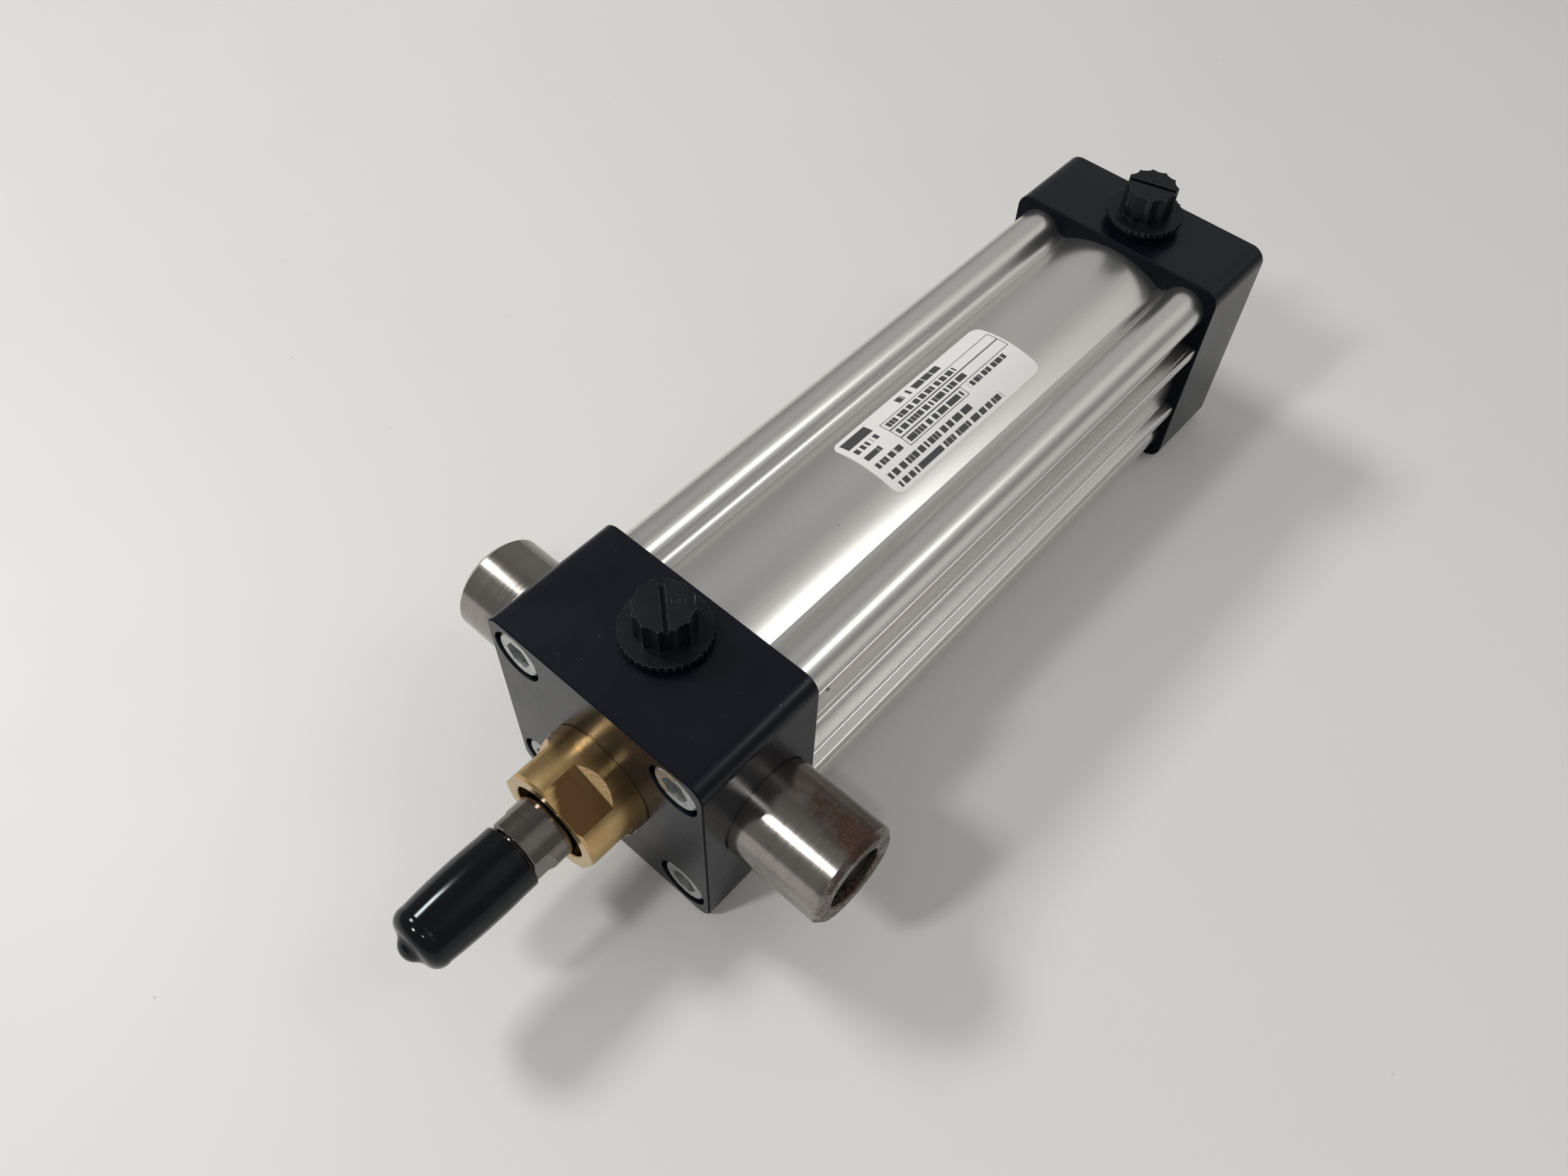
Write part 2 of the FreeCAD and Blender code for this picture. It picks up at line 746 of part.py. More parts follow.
def make_gland():
    """The bronze gland: bearing bore, seal recesses, and four wrench flats with sloped ends."""
    body = new_body("rod_gland")
    bore, edge = dim("gland_bore_radius"), dim("gland_edge")
    pilot, nose, inner = (dim("gland_radius"), dim("gland_nose_radius"),
                          dim("gland_inner_radius"))
    front, back = dim("gland_reach"), -dim("gland_depth")
    relief, step = dim("gland_relief_width"), dim("gland_step_x")
    line, step_end = dim("gland_line_radius"), step + dim("gland_line_width")
    wiper_floor = front - dim("wiper_recess_depth")
    seal_floor = back + dim("seal_recess_depth")
    turned(body, "gland_blank",
           [(back, dim("seal_recess_radius")), (back, inner - edge), (back + edge, inner),
            (relief, inner), (relief, pilot), (step, pilot), (step, line), (step_end, line),
            (step_end, nose),
            (front - edge, nose), (front, nose - edge),
            (front, dim("wiper_recess_radius") + 0.3),
            (front - 0.3, dim("wiper_recess_radius")),
            (wiper_floor, dim("wiper_recess_radius")), (wiper_floor, bore), (seal_floor, bore),
            (seal_floor, dim("seal_recess_radius"))])
    groove = dim("gland_groove_x")
    turned(body, "gland_seal_groove",
           [(groove, dim("gland_groove_radius")),
            (groove + dim("gland_groove_width"), dim("gland_groove_radius")),
            (groove + dim("gland_groove_width"), inner + 1), (groove, inner + 1)], cut=True)
    flat = wrench_flat(body, "gland", dim("gland_flats") / 2, dim("gland_flat_start"),
                       dim("gland_shoulder_run"), front + 1, nose)
    repeated(body, "gland_flats", flat, "X_Axis", 4)
    place(body, axis=(1, 0, 0), turn=GLAND_TURN)
    return keep(body, "rod_gland")


def wrench_flat(body, name, height, start, run, end, radius):
    """One flat facing +Y, from a sloped shoulder to the end of the piece."""
    rise = radius - height
    sketch = new_sketch(body, f"{name}_flat_outline", "XY_Plane")
    add_polygon(sketch, [(start, height), (end, height), (end, height + rise * 2),
                         (start - run * 2, height + rise * 2)])
    return pocket(body, f"{name}_flat", sketch, radius * 4, middle=True)


def make_gland_seals():
    """The wiper at the gland's mouth, the rod seal at its inner end and the O-ring round it."""
    bore = dim("gland_bore_radius")
    floor = dim("gland_reach") - dim("wiper_recess_depth")
    depth = dim("wiper_depth")
    wiper = new_body("rod_wiper")
    outer = dim("wiper_recess_radius") - 0.05
    turned(wiper, "wiper_ring",
           [(floor, bore + 0.4), (floor, outer), (floor + depth, outer),
            (floor + depth, bore + 0.9), (floor + depth + 0.5, bore), (floor + depth - 0.4, bore)])
    keep(wiper, "rod_wiper")

    back = -dim("gland_depth") + 0.2
    front = -dim("gland_depth") + dim("seal_recess_depth")
    outer = dim("seal_recess_radius") - 0.05
    mid = (outer + bore) / 2
    seal = new_body("rod_seal")
    turned(seal, "rod_seal_ring",
           [(front, bore + 0.3), (front, outer - 0.3), (back, outer), (back + 0.5, mid + 0.9),
            (back + 2.2, mid), (back + 0.5, mid - 0.9), (back, bore)])
    keep(seal, "rod_seal")
    groove = dim("gland_groove_x") + dim("gland_groove_width") / 2
    torus("gland_o_ring", groove, dim("gland_groove_radius"), dim("gland_pocket_radius"))


def torus(label, x, inner, outer):
    """An O-ring round the X axis, just clear of its groove and of the wall outside it."""
    ring = DOC.addObject("Part::Torus", f"{label}_torus")
    clear = 0.03
    section = (outer - inner) / 2 - clear
    bind(ring, "Radius1", (outer + inner) / 2)
    bind(ring, "Radius2", section)
    place(ring, x, axis=(0, 1, 0), turn=90)
    return keep(ring, label)


def ring_x(label, start, end, inner, outer):
    """A plain ring round the X axis."""
    body = new_body(f"{label}_body")
    turned(body, f"{label}_ring",
           [(start, inner), (start, outer), (end, outer), (end, inner)])
    return keep(body, label)


def make_block_seals():
    """O-rings round the spigots and the cushion seals in their mouths."""
    half_width = dim("spigot_groove_width") / 2
    offset = dim("spigot_groove_offset") + half_width
    inner_head = -dim("head_length")
    inner_cap = inner_head - dim("barrel_length")
    torus("tube_seal_head", inner_head - offset, dim("spigot_groove_radius"), dim("bore_radius"))
    torus("tube_seal_cap", inner_cap + offset, dim("spigot_groove_radius"), dim("bore_radius"))
    tip_head = inner_head - dim("spigot_length")
    tip_cap = inner_cap + dim("spigot_length")
    ring_x("cushion_seal_head", tip_head + 0.2, tip_head + dim("cushion_seal_depth"),
           dim("sleeve_radius") + 0.3, dim("head_cushion_seal_radius") - 0.03)
    ring_x("cushion_seal_cap", tip_cap - dim("cushion_seal_depth"), tip_cap - 0.2,
           dim("spear_radius") + 0.3, dim("cap_cushion_seal_radius") - 0.03)


# ---------------------------------------------------------------- rod and piston


def piston_face():
    """The X of the piston's front face with the rod retracted."""
    spigot_tip = -(dim("head_length") + dim("spigot_length"))
    return spigot_tip - dim("piston_gap") - dim("stroke")


def make_rod():
    """The piston rod: threaded end, wrench flats, and the stud that carries the piston."""
    body = new_body("piston_rod")
    radius, stud = dim("rod_radius"), dim("stud_radius")
    thread, reach = dim("thread_radius"), dim("rod_reach")
    shoulder = piston_face() + dim("cushion_length")
    end = reach + dim("thread_length")
    lead = dim("thread_start")
    turned(body, "rod_blank",
           [(dim("stud_end"), 0), (dim("stud_end"), stud), (shoulder, stud), (shoulder, radius),
            (reach - 0.4, radius), (reach, radius - 0.4), (reach, thread - dim("thread_depth")),
            (reach + lead, thread - dim("thread_depth")), (reach + lead * 1.6, thread),
            (end - lead, thread), (end, thread - lead), (end, 0)])
    flat = wrench_flat(body, "rod", dim("rod_flats") / 2, dim("rod_flat_start"),
                       dim("rod_shoulder_run"), reach + 0.05, radius)
    repeated(body, "rod_flats", flat, "X_Axis", 2)
    cut_thread(body, reach + lead * 2, thread)
    place(body, axis=(1, 0, 0), turn=ROD_TURN)
    return keep(body, "piston_rod")


def cut_thread(body, start, radius):
    """The thread's form, as evenly spaced rings."""
    pitch, depth = dim("thread_pitch"), dim("thread_depth")
    ring = turned(body, "thread_ring",
                  [(start, radius + 0.01), (start + pitch / 2, radius - depth),
                   (start + pitch * 0.98, radius + 0.01)], cut=True)
    turns = 12
    pattern = body.newObject("PartDesign::LinearPattern", "thread_rings")
    pattern.Originals = [ring]
    for item in body.Origin.OriginFeatures:
        if item.Role == "X_Axis":
            pattern.Direction = (item, [""])
    pattern.Length = pitch.value * (turns - 1)
    bind(pattern, "Length", pitch * (turns - 1))
    pattern.Occurrences = turns
    body.Tip = pattern
    checked(body, pattern, -1)


def make_piston():
    """The piston in two halves that close on the magnet, with its seals, band and cushions."""
    front = piston_face()
    back = front - dim("piston_length")
    middle = (front + back) / 2
    outer, bore = dim("piston_radius"), dim("stud_radius") + dim("stud_fit")
    land, groove = dim("piston_land"), dim("seal_groove_width")
    deep, band = dim("seal_groove_radius"), dim("band_groove_radius")
    half_band, half_magnet = dim("band_groove_width") / 2, dim("magnet_width") / 2 + 0.1
    hollow = dim("magnet_inner_radius") - 0.1
    for label, face, sign in (("piston_front", front, 1), ("piston_rear", back, -1)):
        half = new_body(label)
        turned(half, f"{label}_blank",
               [(face, bore), (face, outer - 0.5), (face - as_size(0.5) * sign, outer),
                (face - land * sign, outer), (face - land * sign, deep),
                (face - (land + groove) * sign, deep), (face - (land + groove) * sign, outer),
                (middle + half_band * sign, outer), (middle + half_band * sign, band),
                (middle + half_magnet * sign, band), (middle + half_magnet * sign, hollow),
                (middle + as_size(0.02) * sign, hollow), (middle + as_size(0.02) * sign, bore)])
        if label == "piston_front":
            ring = front - dim("stud_ring_setback")
            width = dim("stud_ring_width") / 2
            outside = dim("stud_ring_radius")
            turned(half, "stud_ring_groove",
                   [(ring - width, bore - 1), (ring - width, outside), (ring + width, outside),
                    (ring + width, bore - 1)], cut=True)
        keep(half, label)

    side, gap = dim("side_clearance"), dim("seal_clearance")
    seal = dim("seal_outer_radius")
    for label, face, sign in (("piston_seal_front", front, 1), ("piston_seal_rear", back, -1)):
        inner_end = face - (land + groove - side) * sign
        outer_end = face - (land + side) * sign
        lip = new_body(label)
        middle_radius = (deep + gap + seal) / 2
        turned(lip, f"{label}_ring",
               [(inner_end, deep + gap), (inner_end, seal - 0.2),
                (outer_end - as_size(0.5) * sign, seal), (outer_end, seal - 0.2),
                (outer_end, middle_radius + 0.7), (outer_end - as_size(1.6) * sign, middle_radius),
                (outer_end, middle_radius - 0.7), (outer_end, deep + gap)])
        keep(lip, label)
    ring_x("wear_band", middle - half_band + side, middle + half_band - side, band + gap, seal)
    ring_x("piston_magnet", middle - dim("magnet_width") / 2, middle + dim("magnet_width") / 2,
           dim("magnet_inner_radius"), dim("magnet_outer_radius"))


def make_cushions():
    """The sleeve in front of the piston and the nose nut behind it."""
    front = piston_face()
    back = front - dim("piston_length")
    bore = dim("stud_radius") + dim("stud_fit")
    nose = dim("spear_nose")
    sleeve = new_body("cushion_sleeve")
    end = front + dim("cushion_length")
    turned(sleeve, "sleeve_blank",
           [(front + 0.02, bore), (front + 0.02, dim("sleeve_radius")),
            (end - nose * 2, dim("sleeve_radius")), (end - 0.02, dim("sleeve_radius") - nose),
            (end - 0.02, bore)])
    keep(sleeve, "cushion_sleeve")

    spear = new_body("cushion_spear")
    tip = back - dim("cushion_length")
    floor = dim("stud_end") - 0.2
    turned(spear, "spear_blank",
           [(back - 0.02, bore), (back - 0.02, dim("spear_radius")),
            (tip + nose * 2, dim("spear_radius")), (tip, dim("spear_radius") - nose), (tip, 0),
            (floor, 0), (floor, bore)])
    keep(spear, "cushion_spear")


# ---------------------------------------------------------------- needles, plugs, protector


def make_needle(label, x):
    """A cushion needle standing in the bottom face of one block, screwdriver slot down."""
    radius, neck = dim("needle_radius"), dim("needle_neck_radius")
    length, tip = dim("needle_length"), dim("needle_tip_length")
    body = new_body(label)
    ring_start, ring_width = as_size(5.0), as_size(2.4)
    turned(body, f"{label}_blank",
           [(0, 0), (0, radius - 0.3), (0.3, radius), (ring_start, radius), (ring_start, neck),
            (ring_start + ring_width, neck), (ring_start + ring_width, radius),
            (length - tip, radius), (length, dim("needle_tip_radius")), (length, 0)])
    sketch = new_sketch(body, f"{label}_slot_outline", "YZ_Plane")
    half = dim("needle_slot_width") / 2
    add_polygon(sketch, [(half * y, (radius + 1) * z) for y, z in CORNERS])
    pocket(body, f"{label}_slot", sketch, dim("needle_slot_depth"), reverse=True)
    bottom = -(dim("block_width") / 2) + dim("needle_recess")
    place(body, x, 0, bottom, axis=(0, 1, 0), turn=-90)
    keep(body, label)

    ring = DOC.addObject("Part::Torus", f"{label}_torus")
    section = (dim("needle_hole_radius") - neck) / 2 - 0.02
    bind(ring, "Radius1", (dim("needle_hole_radius") + neck) / 2)
    bind(ring, "Radius2", section)
    place(ring, x, 0, bottom + ring_start + ring_width / 2)
    keep(ring, label.replace("cushion_needle", "needle_o_ring"))


def make_plug(label, x, lift, turn):
    """A shipping plug: threaded stub, scalloped flange, and a fluted grip with a slot."""
    body = new_body(label)
    stub, flange, grip = (dim("plug_thread_radius"), dim("plug_flange_radius"),
                          dim("plug_grip_radius"))
    bottom, under = -dim("plug_thread_length"), lift
    over = under + dim("plug_flange_thickness")
    top = over + dim("plug_grip_height")
    turned(body, f"{label}_blank",
           [(bottom, 0), (bottom, stub - 0.6), (bottom + 0.9, stub), (under, stub),
            (under, flange), (over, flange), (over, grip), (top, grip), (top, 0)])
    flutes = new_sketch(body, f"{label}_flute_circle", "YZ_Plane", over)
    add_circle(flutes, dim("grip_cutter_offset"), 0, dim("grip_cutter_radius"))
    flute = pocket(body, f"{label}_flute", flutes, dim("plug_grip_height") + 1, reverse=True)
    repeated(body, f"{label}_flutes", flute, "X_Axis", GRIP_RIBS)
    edge = new_sketch(body, f"{label}_scallop_circle", "YZ_Plane", under)
    add_circle(edge, dim("flange_cutter_offset"), 0, dim("flange_cutter_radius"))
    scallop = pocket(body, f"{label}_scallop", edge, dim("plug_flange_thickness") + 1,
                     reverse=True)
    repeated(body, f"{label}_scallops", scallop, "X_Axis", FLANGE_SCALLOPS)
    slot = new_sketch(body, f"{label}_slot_outline", "YZ_Plane", top - dim("plug_slot_depth"))
    half = dim("plug_slot_width") / 2
    add_polygon(slot, [(half * y, (grip + 1) * z) for y, z in CORNERS])
    pocket(body, f"{label}_slot", slot, dim("plug_slot_depth") + 1, reverse=True)
    upright = Rotation(Vector(0, 1, 0), -90)
    spun = Rotation(Vector(0, 0, 1), turn)
    place(body, x, 0, dim("block_width") / 2)
    body.Placement = Placement(body.Placement.Base, spun.multiply(upright))
    return keep(body, label)


def make_protector():
    """The vinyl thread protector: a closed sleeve with a soft belly, a dome and a small nub."""
    body = new_body("thread_protector")
    start, length = dim("protector_start"), dim("protector_length")
    bore, mouth = dim("protector_bore_radius"), dim("protector_mouth_radius")
    end = start + length
    tip, nub = dim("protector_tip_radius"), dim("protector_nub_radius")
    height = dim("protector_nub_height")
    inside_end = dim("rod_reach") + dim("thread_length") + dim("protector_end_gap")
    belly, dome, hollow = [DIMENSIONS[f"protector_{part}_sag"] for part in ("belly", "dome", "crease")]
    ball = (nub.value ** 2 + height.value ** 2) / (2 * height.value)
    chord = math.hypot(nub.value, height.value)
    round_nub = ball - math.sqrt(ball ** 2 - chord ** 2 / 4)
    shoulder = end - dim("protector_dome_length")
    crease = end - height - dim("protector_crease_setback")
    turned(body, "protector_blank",
           [(start, bore), (start, mouth), (start + length * 0.12, mouth, belly),
            (shoulder, tip, dome), (crease, nub + dim("protector_crease_margin"), hollow),
            (end - height, nub, round_nub), (end, 0),
            (inside_end + dim("protector_cone_depth"), 0), (inside_end, bore)])
    dress(body, "Fillet", "protector_mouth", as_size(0.6),
          lambda p: abs(p.x - start.value) < 0.01
          and math.hypot(p.y, p.z) > DIMENSIONS["protector_mouth_radius"] - 0.1)
    return keep(body, "thread_protector")


# ---------------------------------------------------------------- assembly and export


def build():
    """Make every sub-part in its assembled place."""
    fill_sheet()
    make_head()
    make_end_cap()
    make_barrel()
    make_label()
    block_screws("head_screws", dim("head_length"), 0, 0)
    block_screws("cap_screws", dim("cap_length"), rear_face(), 180)
    make_trunnion_pins()
    make_gland()
    make_gland_seals()
    make_block_seals()
    make_rod()
    make_piston()
    make_cushions()
    torus("piston_o_ring", piston_face() - dim("stud_ring_setback"), dim("stud_radius"),
          dim("stud_ring_radius"))
    inner_head = -dim("head_length")
    inner_cap = inner_head - dim("barrel_length")
    make_needle("cushion_needle_head", inner_head + dim("needle_setback"))
    make_needle("cushion_needle_cap", inner_cap - dim("needle_setback"))
    make_plug("port_plug_head", inner_head + dim("port_setback"), dim("head_plug_lift"),
              HEAD_PLUG_TURN)
    make_plug("port_plug_cap", inner_cap - dim("port_setback"), dim("cap_plug_lift"),
              CAP_PLUG_TURN)
    make_protector()
    DOC.recompute()


def check():
    """Stop if any object failed or any sub-part isn't a valid solid."""
    failed = [thing.Name for thing in DOC.Objects
              if "Invalid" in thing.State or "Error" in thing.State]
    for part in PARTS:
        shape = part.Shape
        if shape.isNull() or not shape.isValid() or not shape.Solids:
            failed.append(part.Label)
    if failed:
        raise RuntimeError("failed: " + ", ".join(failed))


def export():
    """Write one STEP file for each sub-part."""
    os.makedirs("parts", exist_ok=True)
    for part in PARTS:
        part.Shape.exportStep(f"parts/{part.Label}.step")
        box_of = part.Shape.BoundBox
        print(f"{part.Label:22s} solids {len(part.Shape.Solids)} volume {part.Shape.Volume:10.1f}"
              f" x {box_of.XMin:8.2f} {box_of.XMax:7.2f} y {box_of.YMin:7.2f} {box_of.YMax:6.2f}"
              f" z {box_of.ZMin:7.2f} {box_of.ZMax:6.2f}")


build()
check()
export()
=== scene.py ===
import json
import math

import bmesh
import bpy
from mathutils import Euler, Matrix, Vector


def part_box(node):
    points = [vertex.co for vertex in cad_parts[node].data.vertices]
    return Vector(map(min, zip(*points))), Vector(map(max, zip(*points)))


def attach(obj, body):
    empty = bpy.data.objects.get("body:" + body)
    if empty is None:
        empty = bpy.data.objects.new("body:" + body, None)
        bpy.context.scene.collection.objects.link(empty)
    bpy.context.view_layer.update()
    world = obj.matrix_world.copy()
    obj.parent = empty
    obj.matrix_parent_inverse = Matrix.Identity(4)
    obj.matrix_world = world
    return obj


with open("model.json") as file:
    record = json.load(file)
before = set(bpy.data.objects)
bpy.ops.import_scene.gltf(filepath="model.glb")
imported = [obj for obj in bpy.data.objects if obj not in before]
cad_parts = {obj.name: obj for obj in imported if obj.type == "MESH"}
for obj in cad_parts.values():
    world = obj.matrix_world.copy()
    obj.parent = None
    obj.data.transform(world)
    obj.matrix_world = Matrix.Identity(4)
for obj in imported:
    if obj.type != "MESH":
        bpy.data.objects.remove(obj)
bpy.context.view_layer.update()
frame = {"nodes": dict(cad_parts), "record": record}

NODES = frame["nodes"]

# Places and sizes in metres, in the frame's own axes.
BLOCK_HALF = 0.03175
TRUNNION_X = -0.01905
FLOOR_Z = -BLOCK_HALF
FLOOR_GAP = 0.00002
REAR_PART = -0.15  # faces square to X that lie behind this are the cap's

# The nicks that the photo shows on the head's long edge and on the barrel: a place and a size.
EDGE_NICKS = (((-0.0257, 0.0292, 0.0316), 0.00042), ((-0.0335, 0.0291, 0.0316), 0.00034))
TUBE_NICKS = (((-0.0441, 0.0271, 0.0129), 0.0006), ((-0.0489, 0.0267, 0.013), 0.0002))

# The gland's flats: half the width across them, their turn, and the turned line in front.
GLAND_FLAT = 0.0127
GLAND_TURN = math.radians(63.0)
GLAND_LINE = (0.00338, 0.00362)

# The marks on a plug's grip: how far out they sit, and the sizes of the ring and strokes.
MARK_REACH = 0.0031
MARK_RING = 0.00042
MARK_RING_STEPS = 20
MARK_STROKES = 0.0014
MARK_STROKE_COUNT = 4
MARK_STROKE_STEPS = 6
MARK_THICK = 0.00008
BEAD_SIDES = 8
BEAD_TAPER = 0.35

WHITE_LIGHT = (1.0, 0.99, 0.97)
WARM_LIGHT = (1.0, 0.985, 0.96)
COOL_TINT = (0.84, 0.92, 1.0)


# ---------------------------------------------------------------- node building


class Graph:
    """A material under construction: makes nodes and joins them."""

    def __init__(self, name):
        self.material = bpy.data.materials.new(name)
        self.material.use_nodes = True
        self.tree = self.material.node_tree
        self.tree.nodes.clear()
        self.output = self.tree.nodes.new("ShaderNodeOutputMaterial")
        self.shader = self.tree.nodes.new("ShaderNodeBsdfPrincipled")
        self.tree.links.new(self.shader.outputs["BSDF"], self.output.inputs["Surface"])
        self.place = self.tree.nodes.new("ShaderNodeTexCoord").outputs["Object"]
        split = self.tree.nodes.new("ShaderNodeSeparateXYZ")
        self.tree.links.new(self.place, split.inputs[0])
        self.x, self.y, self.z = split.outputs

    def put(self, socket, value):
        """Set a socket to a number or colour, or join it to another node's output."""
        if isinstance(value, bpy.types.NodeSocket):
            self.tree.links.new(value, socket)
        elif isinstance(value, (tuple, list)) and len(value) == 3 and socket.type == "RGBA":
            socket.default_value = (*value, 1.0)
        else:
            socket.default_value = value

    def set(self, **values):
        """Set the shader's own sockets, with underscores for spaces."""
        for name, value in values.items():
            self.put(self.shader.inputs[name.replace("_", " ")], value)

    def math(self, operation, a, b=0.0, clamp=False):
        node = self.tree.nodes.new("ShaderNodeMath")
        node.operation = operation
        node.use_clamp = clamp
        for socket, value in zip(node.inputs, (a, b)):
            self.put(socket, value)
        return node.outputs[0]

    def add(self, a, b):
        return self.math("ADD", a, b)

    def times(self, a, b):
        return self.math("MULTIPLY", a, b)

    def vector(self, x, y, z):
        node = self.tree.nodes.new("ShaderNodeCombineXYZ")
        for socket, value in zip(node.inputs, (x, y, z)):
            self.put(socket, value)
        return node.outputs[0]

    def scaled(self, factors, shift=(0.0, 0.0, 0.0)):
        """The coordinates, stretched by a factor along each axis and then shifted."""
        node = self.tree.nodes.new("ShaderNodeMapping")
        self.put(node.inputs["Vector"], self.place)
        node.inputs["Scale"].default_value = factors
        node.inputs["Location"].default_value = shift
        return node.outputs[0]

    def noise(self, source, scale=1.0, detail=3.0, roughness=0.5):
        node = self.tree.nodes.new("ShaderNodeTexNoise")
        self.put(node.inputs["Vector"], source)
        node.inputs["Scale"].default_value = scale
        node.inputs["Detail"].default_value = detail
        node.inputs["Roughness"].default_value = roughness
        return node.outputs["Fac"]

    def cells(self, source, scale):
        """The distance to the nearest of many scattered points."""
        node = self.tree.nodes.new("ShaderNodeTexVoronoi")
        self.put(node.inputs["Vector"], source)
        node.inputs["Scale"].default_value = scale
        return node.outputs["Distance"]

    def fit(self, value, low, high, to_low=0.0, to_high=1.0):
        """A value mapped from one range to another, held at the ends."""
        node = self.tree.nodes.new("ShaderNodeMapRange")
        node.clamp = True
        for socket, number in zip(node.inputs, (value, low, high, to_low, to_high)):
            self.put(socket, number)
        return node.outputs[0]

    def mix(self, share, a, b):
        """A colour between two, all of the first at 0 and all of the second at 1."""
        node = self.tree.nodes.new("ShaderNodeMix")
        node.data_type = "RGBA"
        self.put(node.inputs["Factor"], share)
        self.put(node.inputs[6], a)
        self.put(node.inputs[7], b)
        return node.outputs[2]

    def blend(self, share, a, b):
        """A number between two, all of the first at 0 and all of the second at 1."""
        node = self.tree.nodes.new("ShaderNodeMix")
        node.data_type = "FLOAT"
        self.put(node.inputs[0], share)
        self.put(node.inputs[2], a)
        self.put(node.inputs[3], b)
        return node.outputs[0]

    def radius(self, a, b):
        """Distance from the axis that two coordinates are measured from."""
        return self.math("SQRT", self.add(self.times(a, a), self.times(b, b)))

    def band(self, value, low, high, soft=0.0001):
        """1 between two values and 0 outside them, with soft ends."""
        rise = self.fit(value, low - soft, low + soft)
        fall = self.fit(value, high - soft, high + soft, 1.0, 0.0)
        return self.times(rise, fall)

    def facing(self):
        """The X, Y and Z of the normal in the node's own axes."""
        coordinates = self.tree.nodes.new("ShaderNodeTexCoord")
        split = self.tree.nodes.new("ShaderNodeSeparateXYZ")
        self.put(split.inputs[0], coordinates.outputs["Normal"])
        return split.outputs

    def larger(self, a, b):
        return self.math("MAXIMUM", a, b)

    def minus(self, a, b, clamp=False):
        return self.math("SUBTRACT", a, b, clamp=clamp)

    def spot(self, centre, size):
        """1 inside a small ball round a point, fading to 0 at its skin."""
        node = self.tree.nodes.new("ShaderNodeVectorMath")
        node.operation = "DISTANCE"
        self.put(node.inputs[0], self.place)
        node.inputs[1].default_value = centre
        return self.fit(node.outputs["Value"], size * 0.7, size, 1.0, 0.0)

    def spots(self, places):
        """1 inside any of several small balls that lie apart, each a centre and a size."""
        mask, *others = [self.spot(centre, size) for centre, size in places]
        for other in others:
            mask = self.add(mask, other)
        return mask

    def edge_wear(self, radius, low=0.03, high=0.14):
        """A mask of the sharp edges, from the difference a rounded normal makes."""
        bevel = self.tree.nodes.new("ShaderNodeBevel")
        bevel.samples = 4
        bevel.inputs["Radius"].default_value = radius
        geometry = self.tree.nodes.new("ShaderNodeNewGeometry")
        dot = self.tree.nodes.new("ShaderNodeVectorMath")
        dot.operation = "DOT_PRODUCT"
        self.put(dot.inputs[0], bevel.outputs[0])
        self.put(dot.inputs[1], geometry.outputs["Normal"])
        return self.fit(self.minus(1.0, dot.outputs["Value"]), low, high)

    def bump(self, *layers):
        """Stack bumps, each a height, its distance in metres and its strength."""
        normal = None
        for height, distance, strength in layers:
            node = self.tree.nodes.new("ShaderNodeBump")
            node.inputs["Distance"].default_value = distance
            node.inputs["Strength"].default_value = strength
            self.put(node.inputs["Height"], height)
            if normal is not None:
                self.put(node.inputs["Normal"], normal)
            normal = node.outputs[0]
        self.set(Normal=normal)


# ---------------------------------------------------------------- materials


def black_anodised():
    """Satin black anodised aluminium: blue-black, fine grain and pale dust.

    The chamfers and the X faces of the cap are duller than the rest.
    """
    g = Graph("black_anodised")
    cloud = g.noise(g.place, 60.0, 4.0, 0.6)
    grain = g.noise(g.place, 4200.0, 2.0, 0.6)
    mottle = g.noise(g.place, 900.0, 3.0, 0.6)
    colour = g.mix(g.fit(cloud, 0.35, 0.65), (0.0022, 0.0031, 0.0064), (0.003, 0.0042, 0.0085))
    dust_spots = g.cells(g.place, 260.0)
    dust = g.times(g.fit(dust_spots, 0.03, 0.055, 1.0, 0.0), g.fit(cloud, 0.54, 0.6))
    fluff = g.fit(g.noise(g.place, 1500.0, 1.0), 0.79, 0.84)
    colour = g.mix(g.times(g.larger(dust, fluff), 0.5), colour, (0.13, 0.13, 0.135))
    nicks = g.spots(EDGE_NICKS)
    colour = g.mix(g.times(nicks, 0.5), colour, (0.1, 0.12, 0.17))
    wear = g.times(g.edge_wear(0.0004, 0.0, 0.6), g.fit(cloud, 0.35, 0.7, 0.2, 1.0))
    colour = g.mix(g.times(wear, 0.05), colour, (0.06, 0.065, 0.075))
    lean = g.math("ABSOLUTE", g.facing()[0])
    chamfer = g.times(g.fit(lean, 0.3, 0.5), g.fit(lean, 0.85, 0.95, 1.0, 0.0))
    cap_face = g.times(g.fit(lean, 0.85, 0.95), g.fit(g.x, REAR_PART, REAR_PART + 0.01, 1.0, 0.0))
    dull = g.larger(chamfer, cap_face)
    rough = g.fit(g.add(cloud, g.times(mottle, 0.4)), 0.5, 0.9, 0.24, 0.3)
    g.set(Base_Color=colour, Metallic=0.0, IOR=1.5,
          Specular_IOR_Level=g.fit(dull, 0.0, 1.0, 0.3, 0.1),
          Specular_Tint=COOL_TINT, Roughness=g.blend(dull, rough, 0.6))
    g.bump((grain, 0.00002, 0.07), (mottle, 0.00003, 0.012), (nicks, 0.0002, 0.5))
    return g.material


